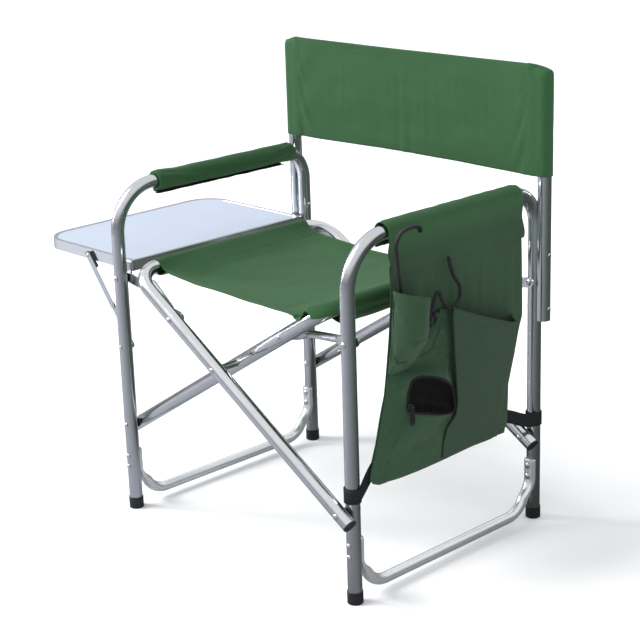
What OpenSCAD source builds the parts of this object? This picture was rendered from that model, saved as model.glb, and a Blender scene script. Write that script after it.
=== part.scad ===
// Folding director chair with a fold-down side table and a hanging organizer.
// Millimetres, +Z up, sitter faces -Y, +X is the sitter's left.
// The origin is on the floor, under the middle of the whole outline.

/* [Side frames] */
// Outside diameter of the main tube
tube_d = 25; // [22:0.5:28]
// Wall thickness of every tube
wall = 1.2; // [1:0.1:2]
// Distance between the left and right leg centres
leg_span = 592; // [540:1:640]
// Distance between the front and rear leg centres
leg_depth = 470; // [430:1:500]
// Height of the arm tube's centreline
arm_height = 624; // [580:1:660]
// Centreline radius of the front arm bend
front_bend = 85; // [60:1:100]
// Centreline radius of the rear arm bend
rear_bend = 62; // [50:1:80]
// Height of the rubber foot caps
cap_height = 22; // [15:1:30]

/* [Stretchers] */
// Outside diameter of the low stretcher tube
stretcher_d = 20; // [16:0.5:22]
// Height of the stretcher's level run
stretcher_height = 20; // [15:1:40]
// Height of the stretcher's pressed ends
stretcher_top = 118; // [110:1:135]

/* [Back] */
// Height of the top of the back fabric
back_height = 838; // [800:1:900]
// Height of the lower edge of the back fabric
back_low = 651; // [600:1:700]
// Height of the lower end of the back posts
post_low = 388; // [350:1:420]
// Sideways distance from a rear leg's centre to its back post's centre
post_offset = 20.3; // [19:0.1:24]

/* [Crossed seat tubes] */
// Height of the pivots on the legs
pivot_height = 169; // [150:1:200]
// Height of the seat rails' centrelines
rail_height = 489; // [460:1:510]
// Distance between the two seat rails
rail_span = 432; // [400:1:460]
// Centreline radius of the seat rail bends
rail_bend = 50; // [40:1:60]
// How far each crossed tube runs in front of or behind its leg line
lane = 29; // [27:0.5:32]
// Angle of the crossed tubes above level when the chair is folded
folded_angle = 81.5; // [75:0.5:82]

/* [Links] */
// Height of the link pivots on the legs
link_height = 457; // [440:1:480]
// Outside diameter of the link tubes
link_d = 14; // [12:0.5:15]

/* [Side table] */
// Table size out from the frame
table_width = 288; // [240:1:290]
// Table size front to back
table_depth = 430; // [400:1:430]
// Height of the table top
table_height = 488; // [480:1:495]
// Depth of the table rim
rim_depth = 20; // [14:1:22]
// Corner radius of the table's outer corners
table_corner = 58; // [30:1:70]
// How far the inner edge stands inside the leg centres
table_inset = 12; // [8:1:14]

/* [Organizer] */
// How far the magazine pocket stands out from the panel
pocket_bulge = 42; // [20:1:50]
// How far the bottle pouch stands out from the panel
pouch_bulge = 60; // [30:1:64]

/* [Hidden] */
$fn = 48;
r = tube_d / 2;
leg_x = leg_span / 2;
leg_y = leg_depth / 2;
rail_x = rail_span / 2;
hole_r = 3.06;
pin_r = 3;
open_angle = atan2(rail_height - pivot_height, leg_x + rail_x);
cross_reach = leg_x / cos(open_angle);
rail_reach = (leg_x + rail_x) / cos(open_angle);
cross_height = pivot_height + leg_x * tan(open_angle);
// The link meets its crossed tube where it has the same length open and folded.
sine_sum = sin(open_angle) + sin(folded_angle);
link_rise = link_height - pivot_height;
link_reach = 4 * cross_reach * cross_reach * sine_sum / (4 * cross_reach * sine_sum - 2 * link_rise);
link_x = leg_x - link_reach * cos(open_angle);
link_z = pivot_height + link_reach * sin(open_angle);
link_drop = atan2(link_height - link_z, leg_x + link_x);
link_length = norm([leg_x + link_x, link_height - link_z]);
leaf = 3.4;
strip_width = 12;
strip_thick = 1.6;
pin_heights = [pivot_height, link_height];
stretcher_pins = [106, 85];
stretcher_reach = leg_y - r - stretcher_d / 2 - 0.6;
brace_pin = [-leg_x, 324];
brace_top = [-leg_x - 117, table_height - 11];
knee = brace_top + (brace_pin - brace_top) * 0.56;
table_outer = leg_x - table_inset + table_width;
panel_x = leg_x + 17;
chair_x = (table_outer - panel_x - 2 - pouch_bulge) / 2;
zip_start = [-126, 320];
zip_end = [-26, 290];
zip_fall = atan2(zip_start[1] - zip_end[1], zip_end[0] - zip_start[0]);

// ---- shared shapes ----

module chair() {
    translate([chair_x, 0, 0]) children();
}

// The chair frame repeats when it is turned half a turn about its upright axis.
module turned() {
    rotate([0, 0, 180]) children();
}

module metal() {
    color([0.80, 0.81, 0.83]) children();
}

module black() {
    color([0.05, 0.05, 0.06]) children();
}

module green() {
    color([0.11, 0.30, 0.15]) children();
}

// A bar along Y, centred on point [x, z] from y0 to y1.
module y_bar(x, z, y0, y1, radius) {
    translate([x, y1, z]) rotate([90, 0, 0]) cylinder(r = radius, h = y1 - y0);
}

// Quarter of a bent tube in the XY plane, starting on the +X side.
module elbow(bend, radius) {
    rotate_extrude(angle = 90) translate([bend, 0]) circle(r = radius);
}

// A rivet along Y with a low round head at both ends.
module y_rivet(x, z, y0, y1, head = 5.5, rise = 2.2) {
    y_bar(x, z, y0, y1, pin_r);
    translate([x, y0, z]) rotate([90, 0, 0]) rivet_head(head, rise);
    translate([x, y1, z]) rotate([-90, 0, 0]) rivet_head(head, rise);
}

module rivet_head(head, rise) {
    ball = (head * head + rise * rise) / (2 * rise);
    rotate_extrude() intersection() {
        translate([0, rise - ball]) circle(r = ball);
        square([head, rise]);
    }
}

// ---- side frames ----

module frame_path(radius, foot) {
    translate([-leg_y, foot, 0]) rotate([-90, 0, 0]) cylinder(r = radius, h = arm_height - front_bend - foot);
    translate([leg_y, foot, 0]) rotate([-90, 0, 0]) cylinder(r = radius, h = arm_height - rear_bend - foot);
    translate([-leg_y + front_bend, arm_height - front_bend, 0]) rotate([0, 0, 90]) elbow(front_bend, radius);
    translate([leg_y - rear_bend, arm_height - rear_bend, 0]) elbow(rear_bend, radius);
    translate([-leg_y + front_bend, arm_height, 0]) rotate([0, 90, 0])
        cylinder(r = radius, h = leg_depth - front_bend - rear_bend);
}

module side_frame(side, heights) {
    difference() {
        translate([side * leg_x, 0, 0]) rotate([90, 0, 90]) difference() {
            frame_path(r, 3);
            frame_path(r - wall, 2);
        }
        for (y = [-leg_y, leg_y], z = heights)
            y_bar(side * leg_x, z, y - 20, y + 20, hole_r);
        for (z = post_rivet_heights())
            translate([side * leg_x, leg_y, z]) rotate([0, 90, 0]) cylinder(r = hole_r, h = 60, center = true);
    }
}

function post_rivet_heights() = [409, 508];

module side_frame_l() {
    chair() metal() side_frame(1, concat(pin_heights, stretcher_pins));
}

module side_frame_r() {
    chair() metal() side_frame(-1, concat(pin_heights, stretcher_pins, [brace_pin[1]]));
}

// Closed at the bottom, open at the top, with a small rounded lower edge.
module foot_cap(x, y) {
    translate([x, y, 0]) difference() {
        rotate_extrude() union() {
            square([r - 0.5, cap_height]);
            translate([0, 1.8]) square([r + 1.3, cap_height - 1.8]);
            translate([r - 0.5, 1.8]) circle(r = 1.8);
        }
        translate([0, 0, 2.8]) cylinder(r = r + 0.05, h = cap_height);
    }
}

module foot_caps(side) {
    for (y = [-leg_y, leg_y]) foot_cap(side * leg_x, y);
}

module foot_caps_l() {
    chair() black() foot_caps(1);
}

module foot_caps_r() {
    chair() black() foot_caps(-1);
}

// ---- stretchers ----

module stretcher_path(radius) {
    bend = 34;
    inner = stretcher_reach;
    for (s = [-1, 1]) translate([s * inner, stretcher_height + bend, 0])
        rotate([-90, 0, 0]) cylinder(r = radius, h = 62 - stretcher_height - bend);
    translate([inner - bend, stretcher_height + bend, 0]) rotate([0, 0, -90]) elbow(bend, radius);
    translate([-inner + bend, stretcher_height + bend, 0]) rotate([0, 0, 180]) elbow(bend, radius);
    translate([-inner + bend, stretcher_height, 0]) rotate([0, 90, 0]) cylinder(r = radius, h = 2 * (inner - bend));
}

// Outline, seen from above, of the part of a stretcher that is pressed round the rear leg.
module saddle(grow) {
    intersection() {
        translate([0, leg_y]) circle(r = r + 4.3 + grow);
        translate([-11 - grow, leg_y - r - 8]) square([22 + 2 * grow, r]);
    }
}

// Pressed end of a stretcher: the round tube flattens to a saddle that lies against the leg.
module stretcher_end() {
    difference() {
        union() {
            hull() {
                translate([0, stretcher_reach, 60]) cylinder(r = stretcher_d / 2 + 0.25, h = 1, $fn = 32);
                translate([0, 0, 76.6]) linear_extrude(height = 1) saddle(-0.3, $fn = 32);
            }
            translate([0, 0, 77]) linear_extrude(height = stretcher_top - 77) saddle(0);
        }
        translate([0, leg_y, 50]) cylinder(r = r + 0.15, h = stretcher_top);
    }
}

module stretcher(side) {
    translate([side * leg_x, 0, 0]) difference() {
        union() {
            rotate([90, 0, 90]) difference() {
                stretcher_path(stretcher_d / 2);
                stretcher_path(stretcher_d / 2 - wall);
            }
            stretcher_end();
            rotate([0, 0, 180]) stretcher_end();
        }
        for (s = [-1, 1], z = stretcher_pins) y_bar(0, z, s * (leg_y - r - 2) - 6, s * (leg_y - r - 2) + 6, hole_r);
    }
}

module stretcher_l() {
    chair() metal() stretcher(1);
}

module stretcher_r() {
    chair() metal() stretcher(-1);
}

module stretcher_rivets(side) {
    for (z = stretcher_pins) {
        y_rivet(side * leg_x, z, -leg_y - r - 0.2, -leg_y + r + 4.5);
        y_rivet(side * leg_x, z, leg_y - r - 4.5, leg_y + r + 0.2);
    }
}

module stretcher_rivets_l() {
    chair() metal() stretcher_rivets(1);
}

module stretcher_rivets_r() {
    chair() metal() stretcher_rivets(-1);
}

// ---- back posts, dented where they nest against the rear leg and its bend ----

module leg_dent(grow, open) {
    translate([-post_offset, 0]) circle(r = r + 0.15 + grow);
    if (open) translate([-post_offset - r, -40]) square([2 * r + 0.15 + grow, 40]);
}

module post_slice(open) {
    difference() {
        circle(r = r);
        leg_dent(0, open);
        difference() {
            circle(r = r - wall);
            leg_dent(wall, open);
        }
    }
}

module back_post() {
    bend_low = arm_height - rear_bend - 2;
    free = arm_height + r + 3;
    difference() {
        translate([leg_x + post_offset, leg_y, 0]) {
            translate([0, 0, post_low]) linear_extrude(height = bend_low - post_low) post_slice(false);
            translate([0, 0, bend_low]) linear_extrude(height = free - bend_low) post_slice(true);
            translate([0, 0, free]) linear_extrude(height = back_height - 20 - free) difference() {
                circle(r = r);
                circle(r = r - wall);
            }
        }
        for (z = post_rivet_heights())
            translate([leg_x, leg_y, z]) rotate([0, 90, 0]) cylinder(r = hole_r, h = 60);
    }
}

module back_post_l() {
    chair() metal() back_post();
}

module back_post_r() {
    chair() metal() mirror([1, 0, 0]) back_post();
}

module post_rivets() {
    for (z = post_rivet_heights()) translate([0, leg_y, z]) {
        translate([leg_x - r - 0.2, 0, 0]) rotate([0, 90, 0]) cylinder(r = pin_r, h = 2 * r + post_offset + 0.4);
        translate([leg_x - r - 0.2, 0, 0]) rotate([0, -90, 0]) rivet_head(5, 2);
        translate([leg_x + post_offset + r + 0.2, 0, 0]) rotate([0, 90, 0]) rivet_head(5, 2);
    }
}

module post_rivets_l() {
    chair() metal() post_rivets();
}

module post_rivets_r() {
    chair() metal() mirror([1, 0, 0]) post_rivets();
}

// ---- crossed seat tubes ----

// Carries a shape drawn in the tube's own plane, X to the rear and Y up the tube.
module x_plane() {
    translate([leg_x, -lane, pivot_height]) rotate([0, open_angle - 90, 0]) rotate([90, 0, 90]) children();
}

module x_path(radius, tail) {
    leg = rail_reach - rail_bend + tail;
    for (s = [-1, 1]) translate([s * leg_y, -tail, 0]) rotate([-90, 0, 0]) cylinder(r = radius, h = leg);
    translate([leg_y - rail_bend, rail_reach - rail_bend, 0]) elbow(rail_bend, radius);
    translate([-leg_y + rail_bend, rail_reach - rail_bend, 0]) rotate([0, 0, 90]) elbow(rail_bend, radius);
    translate([-leg_y + rail_bend, rail_reach, 0]) rotate([0, 90, 0])
        cylinder(r = radius, h = leg_depth - 2 * rail_bend);
}

module x_tube() {
    difference() {
        x_plane() difference() {
            x_path(r, 24);
            x_path(r - wall, 25);
        }
        for (y = [-leg_y - lane, leg_y - lane]) {
            y_bar(leg_x, pivot_height, y - 20, y + 20, hole_r);
            y_bar(0, cross_height, y - 20, y + 20, hole_r);
            y_bar(link_x, link_z, y - 20, y + 20, hole_r);
        }
    }
}

module x_tube_r() {
    chair() metal() x_tube();
}

module x_tube_l() {
    chair() metal() turned() x_tube();
}

module x_plugs() {
    x_plane() for (s = [-1, 1]) translate([s * leg_y, -24, 0]) rotate([-90, 0, 0]) {
        translate([0, 0, 0.2]) cylinder(r = r - wall - 0.05, h = 9);
        translate([0, 0, -2.2]) cylinder(r = r, h = 2);
        translate([0, 0, -0.3]) cylinder(r = r - wall - 0.05, h = 0.6);
    }
}

module x_plugs_r() {
    chair() black() x_plugs();
}

module x_plugs_l() {
    chair() black() turned() x_plugs();
}

// Pivot rivets through each leg and the crossed tube beside it.
module leg_pivots() {
    y_rivet(leg_x, pivot_height, -leg_y - lane - r - 0.2, -leg_y + r + 0.2);
    y_rivet(leg_x, pivot_height, leg_y - lane - r - 0.2, leg_y + r + 0.2);
}

module leg_pivots_l() {
    chair() metal() leg_pivots();
}

module leg_pivots_r() {
    chair() metal() turned() leg_pivots();
}

// Plastic washers that fill the gap between a leg and the crossed tube.
module pivot_spacers() {
    for (y = [-leg_y - r, leg_y - r]) difference() {
        y_bar(leg_x, pivot_height, y - lane + 2 * r + 0.2, y - 0.2, 9);
        y_bar(leg_x, pivot_height, y - lane, y, hole_r);
    }
}

module pivot_spacers_l() {
    chair() black() pivot_spacers();
}

module pivot_spacers_r() {
    chair() black() turned() pivot_spacers();
}

module cross_pivots() {
    chair() metal() for (s = [-1, 1])
        y_rivet(0, cross_height, s * leg_y - lane - r - 0.2, s * leg_y + lane + r + 0.2);
}

module cross_spacers() {
    chair() black() for (s = [-1, 1]) difference() {
        y_bar(0, cross_height, s * leg_y - lane + r + 0.2, s * leg_y + lane - r - 0.2, 6);
        y_bar(0, cross_height, s * leg_y - lane, s * leg_y + lane, hole_r);
    }
}

// Studs on the crossed tubes where the links lie; the link side carries its own head.
module link_stud(x, y, rear) {
    y0 = y - r - (rear ? 0.1 : 0.2);
    y1 = y + r + (rear ? 0.2 : 0.1);
    y_bar(x, link_z, y0, y1, pin_r);
    if (rear) translate([x, y1, link_z]) rotate([-90, 0, 0]) rivet_head(5.5, 2.2);
    else translate([x, y0, link_z]) rotate([90, 0, 0]) rivet_head(5.5, 2.2);
}

module link_studs() {
    link_stud(link_x, -leg_y - lane, false);
    link_stud(link_x, leg_y - lane, true);
}

module link_studs_r() {
    chair() metal() link_studs();
}

module link_studs_l() {
    chair() metal() turned() link_studs();
}

// ---- links ----

// A link runs along local X from the leg pivot; y values are the middles of its parts.
module link_shape(leg_leaf, near, far, far_leaf) {
    flat = 36;
    taper = 52;
    far_taper = link_length - 35;
    far_flat = link_length - 24;
    slope = (far - near) / (far_taper - taper);
    difference() {
        union() {
            link_leaf(0, flat, leg_leaf);
            link_leaf(far_flat, link_length, far_leaf);
            hull() {
                translate([flat - 1, leg_leaf, 0]) cube([1, leaf, 18], center = true);
                translate([taper, near, 0]) rotate([0, 90, 0]) cylinder(r = link_d / 2, h = 1, $fn = 32);
            }
            hull() {
                translate([far_flat + 1, far_leaf, 0]) cube([1, leaf, 18], center = true);
                translate([far_taper - 1, far, 0]) rotate([0, 90, 0]) cylinder(r = link_d / 2, h = 1, $fn = 32);
            }
            intersection() {
                translate([taper - 10, near - 10 * slope, 0]) rotate([0, 0, atan(slope)]) rotate([0, 90, 0])
                    cylinder(r = link_d / 2, h = link_length);
                translate([taper, -400, -20]) cube([far_taper - taper, 400, 40]);
            }
        }
        y_bar(0, 0, leg_leaf - 5, leg_leaf + 5, hole_r);
    }
    translate([link_length, far_leaf + leaf / 2, 0]) rotate([-90, 0, 0]) rivet_head(5.5, 2.2);
}

module link_leaf(x0, x1, y) {
    translate([0, y, 0]) rotate([90, 0, 0]) linear_extrude(height = leaf, center = true) union() {
        translate([x0, -9]) square([x1 - x0, 18]);
        translate([x0 == 0 ? 0 : x1, 0]) circle(r = 9);
    }
}

module link_place() {
    translate([-leg_x, 0, link_height]) rotate([0, link_drop, 0]) children();
}

// Runs from behind the right front leg forward to the tube in front of it.
module outer_link() {
    link_place() link_shape(-leg_y + 15, -leg_y + 34, -leg_y - 7.4, -leg_y - lane + 14.4);
}

// Runs from behind the left front leg back to the tube behind it.
module inner_link() {
    mirror([1, 0, 0]) link_place() link_shape(-leg_y + 15, -leg_y + 29, -leg_y + 55.6, -leg_y + lane + 14.4);
}

module link_front_r() {
    chair() metal() outer_link();
}

module link_front_l() {
    chair() metal() inner_link();
}

module link_rear_l() {
    chair() metal() turned() outer_link();
}

module link_rear_r() {
    chair() metal() turned() inner_link();
}

// Rivets that hold the links, and on the right the table brackets, to the legs.
module link_pivots_l() {
    chair() metal() for (s = [-1, 1])
        y_rivet(leg_x, link_height, s > 0 ? leg_y - r - 5 : -leg_y - r - 0.2,
            s > 0 ? leg_y + r + 0.2 : -leg_y + r + 5);
}

module link_pivots_r() {
    chair() metal() for (s = [-1, 1])
        y_rivet(-leg_x, link_height, s > 0 ? leg_y - r - 8 : -leg_y - r - 0.2,
            s > 0 ? leg_y + r + 0.2 : -leg_y + r + 8);
}

// ---- side table ----

module table_outline(inset) {
    x0 = -table_outer + inset;
    x1 = -leg_x + table_inset - inset;
    half = table_depth / 2 - inset;
    corner = table_corner - inset;
    translate([x0 + corner, -half]) square([x1 - x0 - corner, 2 * half]);
    translate([x0, -half + corner]) square([corner + 1, 2 * (half - corner)]);
    for (s = [-1, 1]) translate([x0 + corner, s * (half - corner)]) circle(r = corner);
}

module table_top() {
    chair() color([0.84, 0.86, 0.92]) translate([0, 0, table_height - 5])
        linear_extrude(height = 4) table_outline(7.2);
}

// Channel-section rim with a lip over the edge of the top.
module table_rim() {
    chair() metal() difference() {
        translate([0, 0, table_height - rim_depth]) linear_extrude(height = rim_depth) table_outline(0);
        translate([0, 0, table_height - rim_depth - 1]) linear_extrude(height = rim_depth - 5) table_outline(1.6);
        translate([0, 0, table_height - 5.2]) linear_extrude(height = 6) table_outline(7);
        translate([0, 0, table_height - 8]) linear_extrude(height = 6) table_outline(11);
        for (s = [-1, 1]) {
            y_bar(brace_top[0], brace_top[1], s * table_depth / 2 - 10, s * table_depth / 2 + 10, hole_r);
            y_bar(-leg_x - 34, brace_top[1], s * table_depth / 2 - 10, s * table_depth / 2 + 10, hole_r);
        }
    }
}

// Plates that hang the table from the link rivets on the two right legs.
module table_bracket() {
    half = table_depth / 2;
    difference() {
        translate([0, -half - 0.1, 0]) rotate([90, 0, 0]) linear_extrude(height = 2.2) union() {
            translate([-leg_x, link_height]) circle(r = 9);
            translate([-leg_x - 45, link_height + 12]) square([54, 16]);
            translate([-leg_x - 9, link_height]) square([18, 14]);
        }
        y_bar(-leg_x, link_height, -half - 5, -half + 5, hole_r);
        y_bar(-leg_x - 34, brace_top[1], -half - 5, -half + 5, hole_r);
    }
    y_rivet(-leg_x - 34, brace_top[1], -half - 2.5, -half + 1.8, 4.5, 1.5);
}

module table_brackets() {
    chair() metal() {
        table_bracket();
        mirror([0, 1, 0]) table_bracket();
    }
}

module brace_stud() {
    y_rivet(brace_top[0], brace_top[1], -leg_y + r + 0.1, -table_depth / 2 + 1.8, 4.2, 1.4);
}

module brace_studs() {
    chair() metal() {
        brace_stud();
        mirror([0, 1, 0]) brace_stud();
    }
}

// Plastic blocks that hold the braces off the rim.
module brace_block() {
    direction = atan2(brace_pin[1] - brace_top[1], brace_pin[0] - brace_top[0]);
    difference() {
        translate([brace_top[0], -table_depth / 2 - 0.1, brace_top[1]]) rotate([0, -direction, 0]) rotate([90, 0, 0])
            linear_extrude(height = 5.2) translate([-8, -7]) square([36, 14]);
        y_bar(brace_top[0], brace_top[1], -table_depth / 2 - 8, -table_depth / 2 + 5, hole_r);
        translate([brace_top[0] - 60, -table_depth / 2 - 10, table_height - 3]) cube([120, 20, 30]);
    }
}

module brace_blocks() {
    chair() black() {
        brace_block();
        mirror([0, 1, 0]) brace_block();
    }
}

// ---- table braces ----

// A flat bar in the XZ plane between two points, with a round end and a hole at each.
module strip(a, b, y) {
    reach = norm(b - a);
    turn = atan2(b[1] - a[1], b[0] - a[0]);
    difference() {
        translate([a[0], y, a[1]]) rotate([0, -turn, 0]) rotate([90, 0, 0])
            linear_extrude(height = strip_thick, center = true) union() {
                translate([0, -strip_width / 2]) square([reach, strip_width]);
                circle(r = strip_width / 2);
                translate([reach, 0]) circle(r = strip_width / 2);
            }
        y_bar(a[0], a[1], y - 5, y + 5, hole_r);
        y_bar(b[0], b[1], y - 5, y + 5, hole_r);
    }
}

module brace_upper() {
    chair() metal() for (s = [-1, 1]) strip(brace_top, knee, s * (leg_y - r - 1));
}

module brace_lower() {
    chair() metal() for (s = [-1, 1]) strip(brace_pin, knee, s * (leg_y - r - 2.8));
}

// The knee rivets are carried by the upper braces and end flush with them on the inside.
module knee_rivets() {
    chair() metal() for (s = [-1, 1]) {
        y = s * (leg_y - r - 1);
        y_bar(knee[0], knee[1], y - strip_thick / 2, y + strip_thick / 2, pin_r);
        translate([knee[0], y + s * strip_thick / 2, knee[1]]) rotate([-s * 90, 0, 0]) rivet_head(4.2, 0.8);
    }
}

module brace_pivots() {
    chair() metal() for (s = [-1, 1]) y_rivet(-leg_x, brace_pin[1],
        s > 0 ? leg_y - r - 3.7 : -leg_y - r - 0.2,
        s > 0 ? leg_y + r + 0.2 : -leg_y + r + 3.7, 4.5, 1.4);
}

// ---- fabric ----

module seat_sleeve() {
    difference() {
        y_bar(-rail_x, rail_height, -leg_y - lane + rail_bend + 2, leg_y - lane - rail_bend - 2, r + 2.2);
        y_bar(-rail_x, rail_height, -leg_y - lane, leg_y - lane, r + 0.2);
    }
}

module seat_sleeve_r() {
    chair() green() seat_sleeve();
}

module seat_sleeve_l() {
    chair() green() turned() seat_sleeve();
}

// Plain sheet between the two sleeves; its front and rear edges run on the slant.
module seat_panel() {
    edge = rail_x - r - 2.6;
    half = leg_y - rail_bend - 2;
    chair() green() translate([0, 0, rail_height + 3]) linear_extrude(height = 7) polygon([
        [-edge, -half - lane], [edge, -half + lane], [edge, half + lane], [-edge, half - lane]
    ]);
}

module back_sleeve() {
    difference() {
        translate([leg_x + post_offset, leg_y, back_low]) cylinder(r = r + 2, h = back_height - back_low);
        translate([leg_x + post_offset, leg_y, back_low - 1]) cylinder(r = r + 0.2, h = back_height - back_low - 4);
    }
}

module back_sleeve_l() {
    chair() green() back_sleeve();
}

module back_sleeve_r() {
    chair() green() mirror([1, 0, 0]) back_sleeve();
}

module back_panel() {
    half = leg_x + post_offset - r - 2.4;
    chair() green() translate([-half, leg_y - 8, back_low]) cube([2 * half, 4, back_height - back_low]);
}

// ---- arm covers ----

module arm_shell(side, y0, y1, outer) {
    difference() {
        y_bar(side * leg_x, arm_height, y0, y1, outer);
        y_bar(side * leg_x, arm_height, y0 - 1, y1 + 1, r + 0.2);
    }
}

module arm_pad_r() {
    chair() green() arm_shell(-1, -leg_y + front_bend + 5, leg_y - rear_bend - 1, r + 5);
}

module arm_strip_r() {
    chair() black() translate([-leg_x - 7, -leg_y + front_bend + 8, arm_height - r - 9.2])
        cube([14, leg_depth - front_bend - rear_bend - 12, 4]);
}

module arm_cover_l() {
    chair() green() arm_shell(1, -leg_y + front_bend + 5, leg_y - rear_bend - 1, r + 3);
}

// ---- organizer ----

// Lays a drawing with X to the rear and Y up flat against the outside of the panel.
module on_panel(out, thick) {
    translate([panel_x + out, 0, 0]) rotate([90, 0, 90]) linear_extrude(height = thick) children();
}

module organizer_panel() {
    chair() green() on_panel(-1, 2.6) polygon([
        [-145, 618], [-146, 540], [-152, 490], [-164, 400], [-198, 290], [-214, 215], [-206, 204],
        [126, 204], [134, 224], [138, 300], [172, 410], [170, 618]
    ]);
}

module bottle_pouch() {
    chair() green() on_panel(1.9, pouch_bulge) polygon([
        [-142, 440], [-142, 530], [-84, 530], [-84, 440], [-96, 430], [-130, 430]
    ]);
}

// Pocket that tapers out towards its open top.
module magazine_pocket() {
    chair() green() translate([panel_x + 1.9, 0, 0]) rotate([90, 0, 0]) translate([0, 0, -146])
        linear_extrude(height = 160) polygon([
            [0, 206], [12, 206], [pocket_bulge, 428], [0, 444]
        ]);
}

module zip_pocket() {
    chair() green() on_panel(1.9, 10) polygon([
        [-194, 214], [-18, 214], [-18, 380], [-156, 380], [-164, 360]
    ]);
}

module zip_arc(x, y, radius, rise) {
    translate([x, y]) rotate(-zip_fall) intersection() {
        translate([0, rise - radius]) circle(r = radius);
        translate([-radius, 0]) square([2 * radius, radius]);
    }
}

// Tape round the arched opening of the zipped pocket.
module zip_tape() {
    middle = (zip_start + zip_end) / 2;
    chair() black() on_panel(12.1, 1.6) difference() {
        zip_arc(middle[0], middle[1] - 4, 56, 58);
        zip_arc(middle[0], middle[1] + 3, 47, 45);
    }
}

module zip_slider() {
    chair() black() translate([panel_x, zip_start[0], zip_start[1]]) {
        rotate([-zip_fall, 0, 0]) translate([13.9, 0, -4]) cube([3.6, 12, 9]);
        translate([17.7, 3, -28]) cube([1.6, 6, 29]);
        translate([17.3, 4, -3]) cube([0.6, 4, 3]);
    }
}

module elastic_cord() {
    y = -44;
    z = 512;
    chair() black() translate([panel_x + 7, y, z]) rotate([90, 0, 90]) {
        rotate([0, 0, 180]) elbow(22, 3.5);
        rotate([0, 0, 270]) elbow(22, 3.5);
        translate([22, 0, 0]) rotate([-90, 0, 0]) cylinder(r = 3.5, h = 44);
        translate([-22, 0, 0]) rotate([-90, 0, 0]) cylinder(r = 3.5, h = 10);
    }
}

module strap_ring(y, z, width, to_y) {
    side = to_y > y ? 1 : -1;
    difference() {
        union() {
            translate([leg_x, y, z]) cylinder(r = r + 2, h = width);
            translate([leg_x + r - 0.2, min(y, to_y), z]) cube([2.2, abs(to_y - y), width]);
        }
        translate([leg_x, y, z - 1]) cylinder(r = r + 0.2, h = width + 2);
    }
}

module strap_front() {
    chair() black() strap_ring(-leg_y, 184, 26, -204);
}

module strap_rear() {
    chair() black() strap_ring(leg_y, 190, 24, 122);
}

side_frame_l();
side_frame_r();
foot_caps_l();
foot_caps_r();
stretcher_l();
stretcher_r();
stretcher_rivets_l();
stretcher_rivets_r();
back_post_l();
back_post_r();
post_rivets_l();
post_rivets_r();
leg_pivots_l();
leg_pivots_r();
pivot_spacers_l();
pivot_spacers_r();
link_pivots_l();
link_pivots_r();
brace_pivots();
x_tube_r();
x_tube_l();
x_plugs_r();
x_plugs_l();
cross_pivots();
cross_spacers();
link_studs_r();
link_studs_l();
link_front_l();
link_front_r();
link_rear_l();
link_rear_r();
seat_sleeve_r();
seat_sleeve_l();
seat_panel();
back_sleeve_l();
back_sleeve_r();
back_panel();
arm_pad_r();
arm_strip_r();
arm_cover_l();
organizer_panel();
bottle_pouch();
magazine_pocket();
zip_pocket();
zip_tape();
zip_slider();
elastic_cord();
strap_front();
strap_rear();
table_top();
table_rim();
table_brackets();
brace_studs();
brace_blocks();
brace_upper();
brace_lower();
knee_rivets();
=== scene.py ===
"""Folding director chair: the looks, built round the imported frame.

Lengths are millimetres in chair coordinates until Piece.build makes metres of them: the origin is on the
floor between the four legs, x points to the sitter's left, y to the rear and z up."""

import math

import bpy
import numpy as np
from mathutils import Matrix, Vector


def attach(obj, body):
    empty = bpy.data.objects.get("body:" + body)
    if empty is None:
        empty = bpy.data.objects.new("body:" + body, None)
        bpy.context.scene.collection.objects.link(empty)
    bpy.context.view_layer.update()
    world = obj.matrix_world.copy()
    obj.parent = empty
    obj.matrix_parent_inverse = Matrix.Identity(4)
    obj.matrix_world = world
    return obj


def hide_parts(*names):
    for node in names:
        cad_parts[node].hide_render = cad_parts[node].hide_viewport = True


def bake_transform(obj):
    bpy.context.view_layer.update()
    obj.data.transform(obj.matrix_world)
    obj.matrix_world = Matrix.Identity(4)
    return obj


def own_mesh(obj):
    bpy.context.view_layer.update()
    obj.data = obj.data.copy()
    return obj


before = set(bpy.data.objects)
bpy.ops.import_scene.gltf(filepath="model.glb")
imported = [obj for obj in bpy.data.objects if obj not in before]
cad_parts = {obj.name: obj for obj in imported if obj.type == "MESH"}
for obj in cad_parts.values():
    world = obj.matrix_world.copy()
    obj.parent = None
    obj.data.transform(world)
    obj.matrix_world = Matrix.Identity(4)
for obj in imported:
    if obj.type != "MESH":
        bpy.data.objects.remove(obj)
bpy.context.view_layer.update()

SHIFT = 98.5  # the chair's middle lies this far along x in the frame, because of the side table
LEG_X, LEG_Y, ARM_Z = 296.0, 235.0, 624.0
RAIL_X, RAIL_Z = 216.0, 489.0
POST_X, POST_Y = 316.3, 235.0
TUBE = 12.5  # outer radius of the frame's tubes

# the body of the left frame, and the frame's slots for cloth and for webbing
LEFT, CLOTH, WEBBING = "frame_l", "green_fabric", "black_webbing"


# ---------------------------------------------------------------- small maths


def smooth(t):
    """A soft step from 0 to 1."""
    t = np.clip(t, 0.0, 1.0)
    return t * t * (3 - 2 * t)


def unit(v):
    return v / np.linalg.norm(v, axis=-1, keepdims=True)


def curve(points, spacing=None, count=None, closed=False):
    """A smooth line through the points, resampled to even steps."""
    p = np.array(points, float)
    if closed:
        p = np.vstack([p[-1], p, p[0], p[1]])
    else:
        p = np.vstack([2 * p[0] - p[1], p, 2 * p[-1] - p[-2]])
    t = np.linspace(0, 1, 16, endpoint=False)[:, None]
    out = []
    for a, b, c, d in zip(p, p[1:], p[2:], p[3:]):
        square = (2 * a - 5 * b + 4 * c - d) * t * t
        out.append(0.5 * (2 * b + (c - a) * t + square + (3 * b - a - 3 * c + d) * t**3))
    return resample(np.vstack([*out, p[1 if closed else -2]]), spacing, count, closed)


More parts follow.
